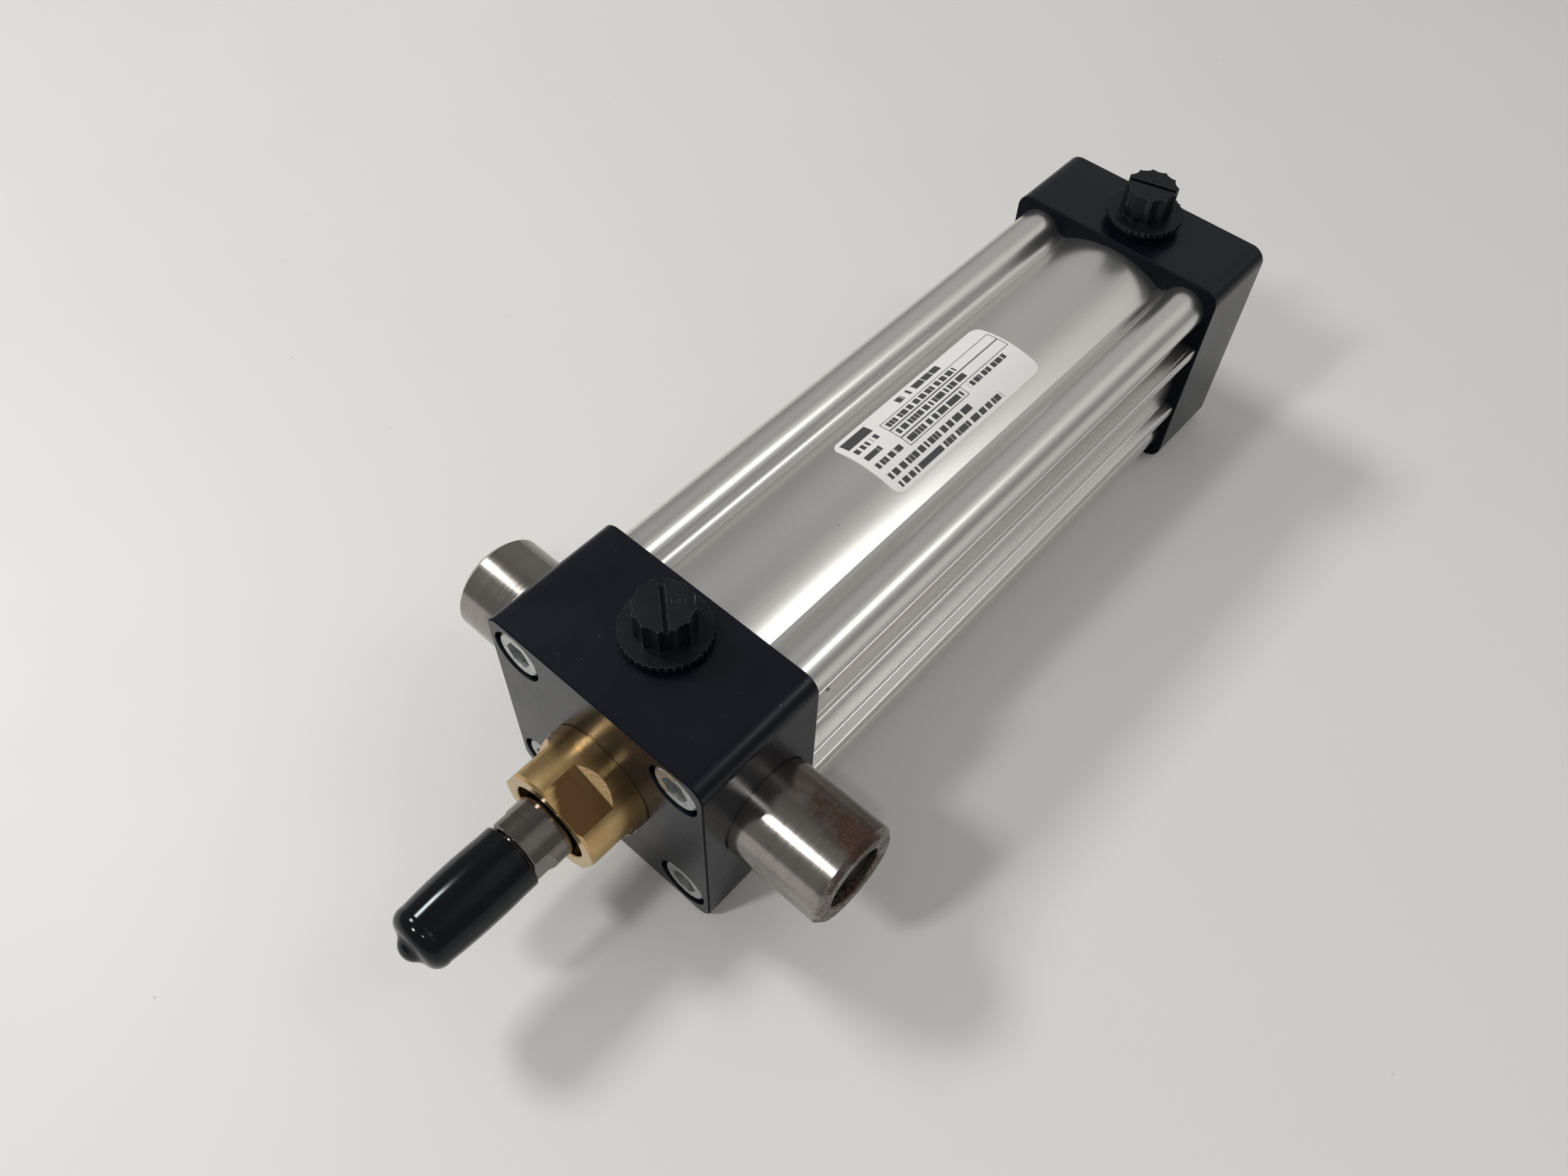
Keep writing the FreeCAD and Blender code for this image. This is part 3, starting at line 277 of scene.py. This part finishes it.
def clear_anodised():
    """Clear anodised extrusion: bright satin metal with faint die lines along X."""
    g = Graph("clear_anodised")
    round_the_axis = g.math("ARCTAN2", g.y, g.z)
    lanes_at = g.vector(g.times(g.x, 0.05), g.times(round_the_axis, 30.0), 0.0)
    lanes = g.noise(lanes_at, 1.0, 1.0, 0.5)
    cloud = g.noise(g.place, 38.0, 3.0, 0.6)
    colour = g.mix(g.fit(lanes, 0.3, 0.7), (0.752, 0.74, 0.717), (0.766, 0.755, 0.733))
    line_at = g.vector(g.times(g.x, 0.2), g.times(round_the_axis, 160.0), 0.3)
    line = g.fit(g.noise(line_at, 1.0, 1.0, 0.5), 0.75, 0.77)
    colour = g.mix(g.times(line, 0.12), colour, (0.42, 0.41, 0.4))
    marks = g.fit(g.cells(g.scaled((0.5, 1.0, 1.0)), 230.0), 0.018, 0.04, 1.0, 0.0)
    marks = g.times(marks, g.fit(cloud, 0.6, 0.64))
    nicks = g.spots(TUBE_NICKS)
    colour = g.mix(g.times(g.larger(marks, nicks), 0.7), colour, (0.12, 0.11, 0.1))
    rough = g.fit(cloud, 0.3, 0.7, 0.24, 0.265)
    g.set(Base_Color=colour, Metallic=0.97, Roughness=rough)
    g.bump((nicks, 0.0002, 0.6))
    return g.material


def label_film():
    """White printed film. Blocks and rules stand for its print; there is no lettering."""
    g = Graph("label_film")
    right, across = g.times(g.x, -1.0), g.y
    print_mask = None

    def area(x0, x1, y0, y1, soft=0.00006):
        return g.times(g.band(right, x0, x1, soft), g.band(across, y0, y1, soft))

    def join(mask):
        nonlocal print_mask
        print_mask = mask if print_mask is None else g.larger(print_mask, mask)

    def words(x0, x1, y0, y1, pitch, seed):
        """A line of short dashes of uneven length, as unreadable text."""
        steps = g.noise(g.vector(g.add(right, seed), seed * 3.0, 0.0), 1.0 / pitch, 0.0)
        gaps = g.fit(steps, 0.4, 0.46)
        join(g.times(area(x0, x1, y0, y1), gaps))

    def frame_lines(x0, x1, y0, y1, line=0.00022):
        outer = area(x0, x1, y0, y1)
        inner = area(x0 + line, x1 - line, y0 + line, y1 - line)
        join(g.minus(outer, inner, clamp=True))

    mm = 0.001
    join(area(89.3 * mm, 98.3 * mm, -9.3 * mm, -6.3 * mm, 0.0001))
    words(110.0 * mm, 126.5 * mm, -9.4 * mm, -7.4 * mm, 0.0016, 0.3)
    frame_lines(100.4 * mm, 144.0 * mm, -6.2 * mm, -3.0 * mm)
    frame_lines(100.4 * mm, 144.0 * mm, -3.0 * mm, 0.4 * mm)
    frame_lines(100.4 * mm, 123.6 * mm, 0.4 * mm, 3.6 * mm)
    words(101.4 * mm, 128.0 * mm, -5.4 * mm, -3.7 * mm, 0.0012, 1.1)
    words(101.4 * mm, 128.0 * mm, -2.2 * mm, -0.5 * mm, 0.0012, 2.3)
    words(101.4 * mm, 122.6 * mm, 1.2 * mm, 2.9 * mm, 0.0012, 3.7)
    words(125.4 * mm, 140.4 * mm, 1.1 * mm, 2.7 * mm, 0.0011, 4.9)
    words(89.5 * mm, 97.6 * mm, -5.3 * mm, -3.6 * mm, 0.0011, 5.2)
    words(89.5 * mm, 95.0 * mm, -2.1 * mm, -0.5 * mm, 0.0011, 6.1)
    words(89.5 * mm, 99.0 * mm, 1.2 * mm, 2.9 * mm, 0.0011, 7.4)
    words(89.5 * mm, 121.0 * mm, 5.0 * mm, 6.8 * mm, 0.0012, 8.6)
    words(89.5 * mm, 130.0 * mm, 8.0 * mm, 9.6 * mm, 0.0012, 9.8)

    cloud = g.noise(g.place, 90.0, 3.0, 0.6)
    fibre = g.noise(g.place, 2600.0, 2.0, 0.5)
    paper = g.mix(cloud, (0.76, 0.757, 0.742), (0.81, 0.807, 0.792))
    colour = g.mix(g.times(print_mask, 0.95), paper, (0.02, 0.02, 0.024))
    g.set(Base_Color=colour, Roughness=g.fit(cloud, 0.3, 0.7, 0.32, 0.42), IOR=1.48)
    g.bump((fibre, 0.000015, 0.15), (cloud, 0.0002, 0.12))
    return g.material


def zinc_screws():
    """Bright zinc plate: cool grey, a little mottled, with grime in places."""
    g = Graph("zinc_screws")
    mottle = g.noise(g.place, 700.0, 4.0, 0.6)
    cloud = g.noise(g.place, 180.0, 3.0, 0.6)
    colour = g.mix(g.fit(mottle, 0.35, 0.65), (0.4, 0.42, 0.42), (0.62, 0.64, 0.64))
    grime = g.fit(cloud, 0.58, 0.75)
    colour = g.mix(g.times(grime, 0.35), colour, (0.2, 0.19, 0.17))
    g.set(Base_Color=colour, Metallic=0.85, Roughness=g.fit(mottle, 0.3, 0.7, 0.26, 0.4))
    g.bump((mottle, 0.00004, 0.3))
    return g.material


def ground_steel(name, axis, rusty):
    """Ground steel: fine rings round an axis, with rust where a pin is bare, and on a pin a
    painted dark reflection of the black block with painted shade on its upper side towards -X.
    """
    g = Graph(name)
    along = g.x if axis == "x" else g.y
    other = g.y if axis == "x" else g.minus(g.x, TRUNNION_X)
    radius = g.radius(other, g.z)
    rings_at = g.vector(g.times(along, 3200.0), g.times(radius, 3200.0), 0.0)
    rings = g.noise(rings_at, 1.0, 2.0, 0.5)
    coarse_at = g.vector(g.times(along, 420.0), g.times(radius, 600.0), 0.0)
    coarse = g.noise(coarse_at, 1.0, 2.0, 0.5)
    cloud = g.noise(g.place, 75.0, 4.0, 0.62)
    if rusty:
        dark, pale, smoothest, roughest = (0.31, 0.29, 0.27), (0.37, 0.35, 0.33), 0.14, 0.2
    else:
        dark, pale, smoothest, roughest = (0.17, 0.155, 0.142), (0.225, 0.207, 0.19), 0.1, 0.15
    colour = g.mix(g.fit(g.add(g.times(coarse, 0.7), cloud), 0.55, 1.15), dark, pale)
    rough = g.fit(rings, 0.3, 0.7, smoothest, roughest)
    metal = 1.0
    layers = [(rings, 0.00001, 0.08), (coarse, 0.00001, 0.04)]
    if rusty:
        bore = g.fit(radius, 0.0078, 0.0081, 1.0, 0.0)
        colour = g.mix(bore, colour, (0.5, 0.48, 0.46))
        crest = g.times(g.band(other, -0.0062, 0.0006, 0.0024), g.fit(g.z, 0.004, 0.009))
        crest = g.times(crest, g.fit(g.y, 0.036, 0.05))
        rim = g.fit(g.y, 0.0542, 0.0566)
        # Painted dark reflection of the black block and painted shade: the pin's upper side
        # towards -X is darkened, more strongly towards the pin's outer end.
        block_reflection_shade = g.times(g.band(other, -0.0125, 0.0004, 0.003), g.fit(g.z, -0.002, 0.006))
        block_reflection_shade = g.times(block_reflection_shade, g.fit(g.y, 0.0, 0.036, 0.4, 0.8))
        colour = g.mix(block_reflection_shade, colour, (0.12, 0.098, 0.088))
        patches = g.noise(g.scaled((0.9, 1.5, 0.9), (0.31, 0.0, 0.17)), 230.0, 6.0, 0.75)
        broad = g.noise(g.scaled((1.0, 1.0, 1.0), (0.13, 0.2, 0.04)), 60.0, 2.0, 0.5)
        rim = g.times(rim, g.fit(broad, 0.3, 0.7, 0.14, 0.42))
        field = g.add(g.add(patches, g.times(crest, 0.44)), rim)
        speckle = g.fit(g.noise(g.place, 2300.0, 3.0, 0.7), 0.44, 0.56)
        rust = g.times(g.fit(field, 0.7, 0.82), speckle)
        stain = g.fit(field, 0.56, 0.86, 0.0, 0.8)
        brown = g.mix(speckle, (0.03, 0.013, 0.009), (0.08, 0.033, 0.02))
        colour = g.mix(stain, colour, (0.075, 0.04, 0.03))
        colour = g.mix(rust, colour, brown)
        rough = g.blend(rust, rough, 0.6)
        metal = g.fit(rust, 0.0, 1.0, 1.0, 0.35)
        layers.append((rust, 0.00001, 0.3))
    g.set(Base_Color=colour, Metallic=metal, Roughness=rough)
    g.bump(*layers)
    return g.material


def bronze():
    """Turned bronze: golden and round, with milled flats whose much darker colour is a painted
    dark reflection.

    The flats are burnished at their front edge, and their shoulders are paler and pecked. The
    round is painted darker near the head as a painted reflection of the black head, and the bore
    is painted dark as painted shade.
    """
    g = Graph("bronze")
    radius = g.radius(g.y, g.z)
    rings_at = g.vector(g.times(g.x, 5200.0), g.times(radius, 5200.0), 0.0)
    rings = g.noise(rings_at, 1.0, 2.0, 0.5)
    cloud = g.noise(g.place, 120.0, 3.0, 0.6)
    broad = g.noise(g.place, 45.0, 2.0, 0.5)
    colour = g.mix(g.fit(cloud, 0.3, 0.7), (0.56, 0.38, 0.17), (0.66, 0.47, 0.23))
    colour = g.mix(g.times(g.fit(rings, 0.3, 0.7), 0.12), colour, (0.42, 0.26, 0.1))
    tarnish = g.fit(broad, 0.45, 0.7)
    colour = g.mix(g.times(tarnish, 0.4), colour, (0.3, 0.175, 0.075))
    turned_y = g.add(g.times(g.y, math.cos(GLAND_TURN)), g.times(g.z, math.sin(GLAND_TURN)))
    turned_z = g.add(g.times(g.z, math.cos(GLAND_TURN)), g.times(g.y, -math.sin(GLAND_TURN)))
    square = g.larger(g.math("ABSOLUTE", turned_y), g.math("ABSOLUTE", turned_z))
    flat = g.band(square, GLAND_FLAT - 0.00003, GLAND_FLAT + 0.00003, 0.00001)
    flat = g.times(flat, g.fit(g.x, 0.0062, 0.0064))
    flat = g.times(flat, g.fit(g.x, 0.01578, 0.01584, 1.0, 0.0))
    milled = g.noise(g.scaled((1900.0, 120.0, 120.0)), 1.0, 2.0, 0.5)
    # The flats' milled streaks are their own; their much darker tone is a painted dark
    # reflection.
    flat_dark_reflection_and_burnish = g.mix(milled, (0.09, 0.042, 0.018), (0.13, 0.064, 0.028))
    ragged = g.times(g.noise(g.scaled((60.0, 1500.0, 1500.0)), 1.0, 2.0, 0.6), 0.0016)
    taper = g.fit(g.add(g.z, g.times(g.y, -0.5)), 0.006, 0.0135, 0.0046, 0.0)
    burnish = g.fit(g.minus(g.minus(g.x, ragged), taper), 0.0116, 0.0134)
    flat_dark_reflection_and_burnish = g.mix(g.times(burnish, 0.85), flat_dark_reflection_and_burnish, (0.62, 0.42, 0.18))
    colour = g.mix(g.times(flat, 0.95), colour, flat_dark_reflection_and_burnish)
    # Painted reflection of the black head: the round is darkened near the head.
    head_reflection_shade = g.fit(g.x, 0.0045, 0.009, 0.5, 0.0)
    colour = g.mix(head_reflection_shade, colour, (0.3, 0.185, 0.08))
    shoulder = g.times(g.fit(radius, 0.01404, 0.01408, 1.0, 0.0), g.band(g.x, 0.0041, 0.0064))
    pecks = g.fit(g.noise(g.place, 2600.0, 2.0, 0.6), 0.5, 0.6)
    colour = g.mix(shoulder, colour, g.mix(pecks, (0.6, 0.4, 0.2), (0.74, 0.55, 0.32)))
    # Painted shade: the bore inside the gland is darkened.
    bore_shade = g.fit(radius, 0.0101, 0.0103, 1.0, 0.0)
    colour = g.mix(g.times(bore_shade, 0.6), colour, (0.2, 0.1, 0.04))
    line = g.band(g.x, *GLAND_LINE, 0.00004)
    colour = g.mix(g.times(line, 0.3), colour, (0.16, 0.09, 0.04))
    rough = g.blend(shoulder, g.fit(cloud, 0.3, 0.7, 0.2, 0.25), 0.4)
    g.set(Base_Color=colour, Metallic=1.0, Roughness=rough)
    g.bump((g.times(milled, flat), 0.000004, 0.05), (g.times(pecks, shoulder), 0.00004, 0.4))
    return g.material


def moulded_black(name, shine, base):
    """Black moulded plastic with a soft skin, scuffs, and paler worn edges."""
    g = Graph(name)
    skin = g.noise(g.place, 1500.0, 3.0, 0.6)
    cloud = g.noise(g.place, 240.0, 3.0, 0.6)
    scuff_field = g.noise(g.scaled((1.0, 2.2, 0.7)), 900.0, 4.0, 0.7)
    scuff = g.fit(scuff_field, 0.64, 0.74)
    colour = g.mix(g.fit(cloud, 0.3, 0.7), base, tuple(v * 1.7 for v in base))
    colour = g.mix(g.times(scuff, 0.2), colour, (0.05, 0.05, 0.052))
    wear = g.times(g.edge_wear(0.00022, 0.01, 0.1), g.fit(scuff_field, 0.42, 0.6, 0.1, 1.0))
    colour = g.mix(g.times(wear, 0.8), colour, (0.13, 0.133, 0.14))
    g.set(Base_Color=colour, IOR=1.5, Specular_IOR_Level=0.26,
          Specular_Tint=(0.8, 0.9, 1.0), Roughness=g.fit(cloud, 0.3, 0.7, shine, shine + 0.12))
    g.bump((skin, 0.00003, 0.16), (cloud, 0.0001, 0.1))
    return g.material


def vinyl():
    """Dipped vinyl: glossy black, slightly wavy, with hairline scuffs."""
    g = Graph("protector_vinyl")
    wave = g.noise(g.scaled((0.6, 1.0, 1.0)), 190.0, 2.0, 0.5)
    pits = g.noise(g.place, 2400.0, 2.0, 0.6)
    scuff = g.fit(g.noise(g.scaled((0.5, 3.0, 3.0)), 420.0, 4.0, 0.7), 0.64, 0.72)
    colour = g.mix(g.times(scuff, 0.2), (0.0028, 0.0033, 0.0042), (0.03, 0.03, 0.032))
    rough = g.add(g.fit(wave, 0.3, 0.7, 0.1, 0.15), g.times(scuff, 0.2))
    g.set(Base_Color=colour, Roughness=rough, IOR=1.5, Specular_IOR_Level=0.3,
          Specular_Tint=COOL_TINT)
    g.bump((wave, 0.0002, 0.07), (pits, 0.000008, 0.08))
    return g.material


def rubber(name, base):
    """Matte rubber with a fine skin."""
    g = Graph(name)
    skin = g.noise(g.place, 2600.0, 3.0, 0.6)
    cloud = g.noise(g.place, 300.0, 2.0, 0.5)
    colour = g.mix(cloud, base, tuple(v * 1.8 + 0.004 for v in base))
    g.set(Base_Color=colour, Roughness=g.fit(skin, 0.3, 0.7, 0.5, 0.66), IOR=1.5)
    g.bump((skin, 0.00003, 0.3))
    return g.material


def turned_metal(name, dark, pale):
    """Turned metal with rings about the X axis."""
    g = Graph(name)
    rings_at = g.vector(g.times(g.x, 2200.0), g.times(g.radius(g.y, g.z), 2200.0), 0.0)
    rings = g.noise(rings_at, 1.0, 3.0, 0.6)
    cloud = g.noise(g.place, 110.0, 3.0, 0.6)
    colour = g.mix(g.fit(g.add(rings, g.times(cloud, 0.4)), 0.45, 0.95), dark, pale)
    g.set(Base_Color=colour, Metallic=1.0, Roughness=g.fit(rings, 0.3, 0.7, 0.24, 0.38))
    g.bump((rings, 0.00002, 0.35))
    return g.material


def floor_material():
    """A pale sheet: nearly white, with faint grey drifts and a few fine specks."""
    g = Graph("studio_floor")
    drift = g.noise(g.place, 5.0, 4.0, 0.6)
    grain = g.noise(g.place, 900.0, 3.0, 0.6)
    colour = g.mix(drift, (0.73, 0.724, 0.712), (0.765, 0.758, 0.746))
    specks = g.fit(g.cells(g.place, 45.0), 0.012, 0.02, 1.0, 0.0)
    colour = g.mix(g.times(specks, 0.35), colour, (0.25, 0.23, 0.21))
    g.set(Base_Color=colour, Roughness=g.fit(drift, 0.3, 0.7, 0.42, 0.55))
    g.bump((grain, 0.00004, 0.12))
    return g.material


LOOKS = {
    "black_anodised": black_anodised(),
    "clear_anodised": clear_anodised(),
    "label_film": label_film(),
    "zinc_screws": zinc_screws(),
    "ground_pin": ground_steel("ground_pin", "y", True),
    "bronze": bronze(),
    "ground_rod": ground_steel("ground_rod", "x", False),
    "piston_metal": turned_metal("piston_metal", (0.48, 0.49, 0.5), (0.7, 0.71, 0.73)),
    "cushion_steel": turned_metal("cushion_steel", (0.34, 0.34, 0.34), (0.56, 0.56, 0.56)),
    "needle_steel": turned_metal("needle_steel", (0.36, 0.34, 0.3), (0.58, 0.56, 0.5)),
    "seal_rubber": rubber("seal_rubber", (0.02, 0.02, 0.022)),
    "wiper_rubber": rubber("wiper_rubber", (0.03, 0.016, 0.009)),
    "magnet_rubber": rubber("magnet_rubber", (0.06, 0.055, 0.05)),
    "band_plastic": rubber("band_plastic", (0.12, 0.15, 0.13)),
    "plug_plastic": moulded_black("plug_plastic", 0.36, (0.0028, 0.0034, 0.0046)),
    "protector_vinyl": vinyl(),
}


def dress_nodes():
    """Give every CAD node its slot's material."""
    slots = {entry["node"]: entry["material_slot"] for entry in frame["record"]["subparts"]}
    for name, thing in NODES.items():
        material = LOOKS[slots[name]]
        thing.data.materials.clear()
        thing.data.materials.append(material)


# ---------------------------------------------------------------- small pieces


def bead(build, spots, thick, closed):
    """A thin raised bead along a flat run of spots, with tapered ends where it is open."""
    rings = []
    count = len(spots)
    for number, spot in enumerate(spots):
        before = spots[(number - 1) % count] if closed or number else spot
        after = spots[(number + 1) % count] if closed or number < count - 1 else spot
        along = (after - before).normalized()
        across = Vector((-along.y, along.x, 0.0))
        end = not closed and number in (0, count - 1)
        size = thick * (BEAD_TAPER if end else 1.0)
        ring = []
        for step in range(BEAD_SIDES):
            turn = math.tau * step / BEAD_SIDES
            offset = across * math.cos(turn) + Vector((0.0, 0.0, 1.0)) * math.sin(turn)
            ring.append(build.verts.new(spot + offset * size))
        rings.append(ring)
    pairs = list(zip(rings, rings[1:] + rings[:1]))
    for here, there in pairs if closed else pairs[:-1]:
        for step in range(BEAD_SIDES):
            following = (step + 1) % BEAD_SIDES
            build.faces.new((here[step], here[following], there[following], there[step]))
    if not closed:
        build.faces.new(rings[0])
        build.faces.new(reversed(rings[-1]))


def arc_spots(centre, radius, turns):
    """Places round a centre, level with it, one for each turn."""
    return [centre + Vector((math.cos(a), math.sin(a), 0.0)) * radius for a in turns]


def grip_marks(name, body, node, turn):
    """The mould's marks on a plug's grip: a small ring, and four curved strokes round it."""
    low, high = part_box(node)
    middle = Vector(((low[0] + high[0]) / 2, (low[1] + high[1]) / 2, high[2]))
    centre = middle + Vector((math.cos(turn), math.sin(turn), 0.0)) * MARK_REACH
    build = bmesh.new()
    circle = [math.tau * step / MARK_RING_STEPS for step in range(MARK_RING_STEPS)]
    bead(build, arc_spots(centre, MARK_RING, circle), MARK_THICK, True)
    for number in range(MARK_STROKE_COUNT):
        start = math.tau * (number / MARK_STROKE_COUNT + 0.06)
        sweep = math.tau * 0.13
        arc = [start + sweep * step / MARK_STROKE_STEPS for step in range(MARK_STROKE_STEPS + 1)]
        bead(build, arc_spots(centre, MARK_STROKES, arc), MARK_THICK * 0.8, False)
    bmesh.ops.recalc_face_normals(build, faces=build.faces)
    mesh = bpy.data.meshes.new(name)
    build.to_mesh(mesh)
    build.free()
    for face in mesh.polygons:
        face.use_smooth = True
    mesh.materials.append(LOOKS["plug_plastic"])
    piece = bpy.data.objects.new(name, mesh)
    bpy.context.scene.collection.objects.link(piece)
    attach(piece, body)


# ---------------------------------------------------------------- studio

# The room's even light, then its parts: a direction, two angles off it in degrees where the
# part fades out and where it is full, and the change in level there.
ROOM_LEVEL = 0.25
ROOM_PARTS = [((-0.42, -0.02, 0.9), 22.0, 6.0, -0.05),
              ((-0.42, 0.5, 0.76), 34.0, 14.0, 0.24),
              ((-0.85, -0.1, 0.5), 50.0, 20.0, 0.18)]


def area_light(name, spot, aim, size, power, colour):
    """A soft rectangular light that stands at a spot and points at its aim."""
    data = bpy.data.lights.new(name, "AREA")
    data.shape = "RECTANGLE"
    data.size, data.size_y = size
    data.energy = power
    data.color = colour
    thing = bpy.data.objects.new(name, data)
    bpy.context.scene.collection.objects.link(thing)
    thing.location = spot
    thing.rotation_euler = (Vector(aim) - Vector(spot)).to_track_quat("-Z", "Y").to_euler()


def studio_world():
    """A soft room: an even pale light, with a few broad brighter and darker parts."""
    world = bpy.data.worlds.new("studio_world")
    world.use_nodes = True
    tree = world.node_tree
    way = tree.nodes.new("ShaderNodeTexCoord").outputs["Generated"]
    level = None
    for direction, edge, core, change in ROOM_PARTS:
        dot = tree.nodes.new("ShaderNodeVectorMath")
        dot.operation = "DOT_PRODUCT"
        tree.links.new(way, dot.inputs[0])
        dot.inputs[1].default_value = Vector(direction).normalized()
        fit = tree.nodes.new("ShaderNodeMapRange")
        fit.interpolation_type = "SMOOTHSTEP"
        fit.inputs["From Min"].default_value = math.cos(math.radians(edge))
        fit.inputs["From Max"].default_value = math.cos(math.radians(core))
        fit.inputs["To Max"].default_value = change
        tree.links.new(dot.outputs["Value"], fit.inputs["Value"])
        total = tree.nodes.new("ShaderNodeMath")
        tree.links.new(fit.outputs[0], total.inputs[0])
        if level is None:
            total.inputs[1].default_value = ROOM_LEVEL
        else:
            tree.links.new(level, total.inputs[1])
        level = total.outputs[0]
    back = tree.nodes["Background"]
    back.inputs["Color"].default_value = (1.0, 0.985, 0.955, 1.0)
    tree.links.new(level, back.inputs["Strength"])
    bpy.context.scene.world = world


def studio_floor():
    """A flat pale sheet under the part."""
    mesh = bpy.data.meshes.new("studio_floor")
    build = bmesh.new()
    bmesh.ops.create_grid(build, x_segments=4, y_segments=4, size=3.0)
    build.to_mesh(mesh)
    build.free()
    mesh.materials.append(floor_material())
    floor = bpy.data.objects.new("studio_floor", mesh)
    floor.location = (0.0, 0.0, FLOOR_Z - FLOOR_GAP)
    bpy.context.scene.collection.objects.link(floor)


def studio_lights():
    """Four area lights, all aimed at one point on the barrel's axis."""
    aim = (-0.08, 0.0, 0.0)
    area_light("overhead", (-0.8, 0.85, 1.3), aim, (0.5, 0.5), 1.6, WHITE_LIGHT)
    area_light("window", (0.12, -0.97, 1.1), aim, (0.3, 0.26), 8.6, WHITE_LIGHT)
    area_light("lamp_front", (0.77, -0.32, 0.98), aim, (0.12, 0.2), 4.6, WARM_LIGHT)
    area_light("lamp_near", (0.5, 0.45, 1.05), aim, (0.08, 0.08), 1.2, WARM_LIGHT)


def studio_camera():
    """The camera, at the photograph's place, angle and focal length."""
    data = bpy.data.cameras.new("camera")
    data.sensor_width = 36.0
    data.lens = 28.75
    data.clip_start = 0.01
    camera = bpy.data.objects.new("camera", data)
    bpy.context.scene.collection.objects.link(camera)
    camera.location = (0.07211, 0.11039, 0.2505)
    camera.rotation_euler = Euler([math.radians(a) for a in (35.4725, -1.3592, 131.8079)], "XYZ")
    bpy.context.scene.camera = camera
    bpy.context.scene.view_settings.view_transform = "Standard"


dress_nodes()
grip_marks("grip_marks_head", "plug_head", "port_plug_head", math.radians(148.6))
grip_marks("grip_marks_cap", "plug_cap", "port_plug_cap", math.radians(204.6))
studio_floor()
studio_world()
studio_lights()
studio_camera()
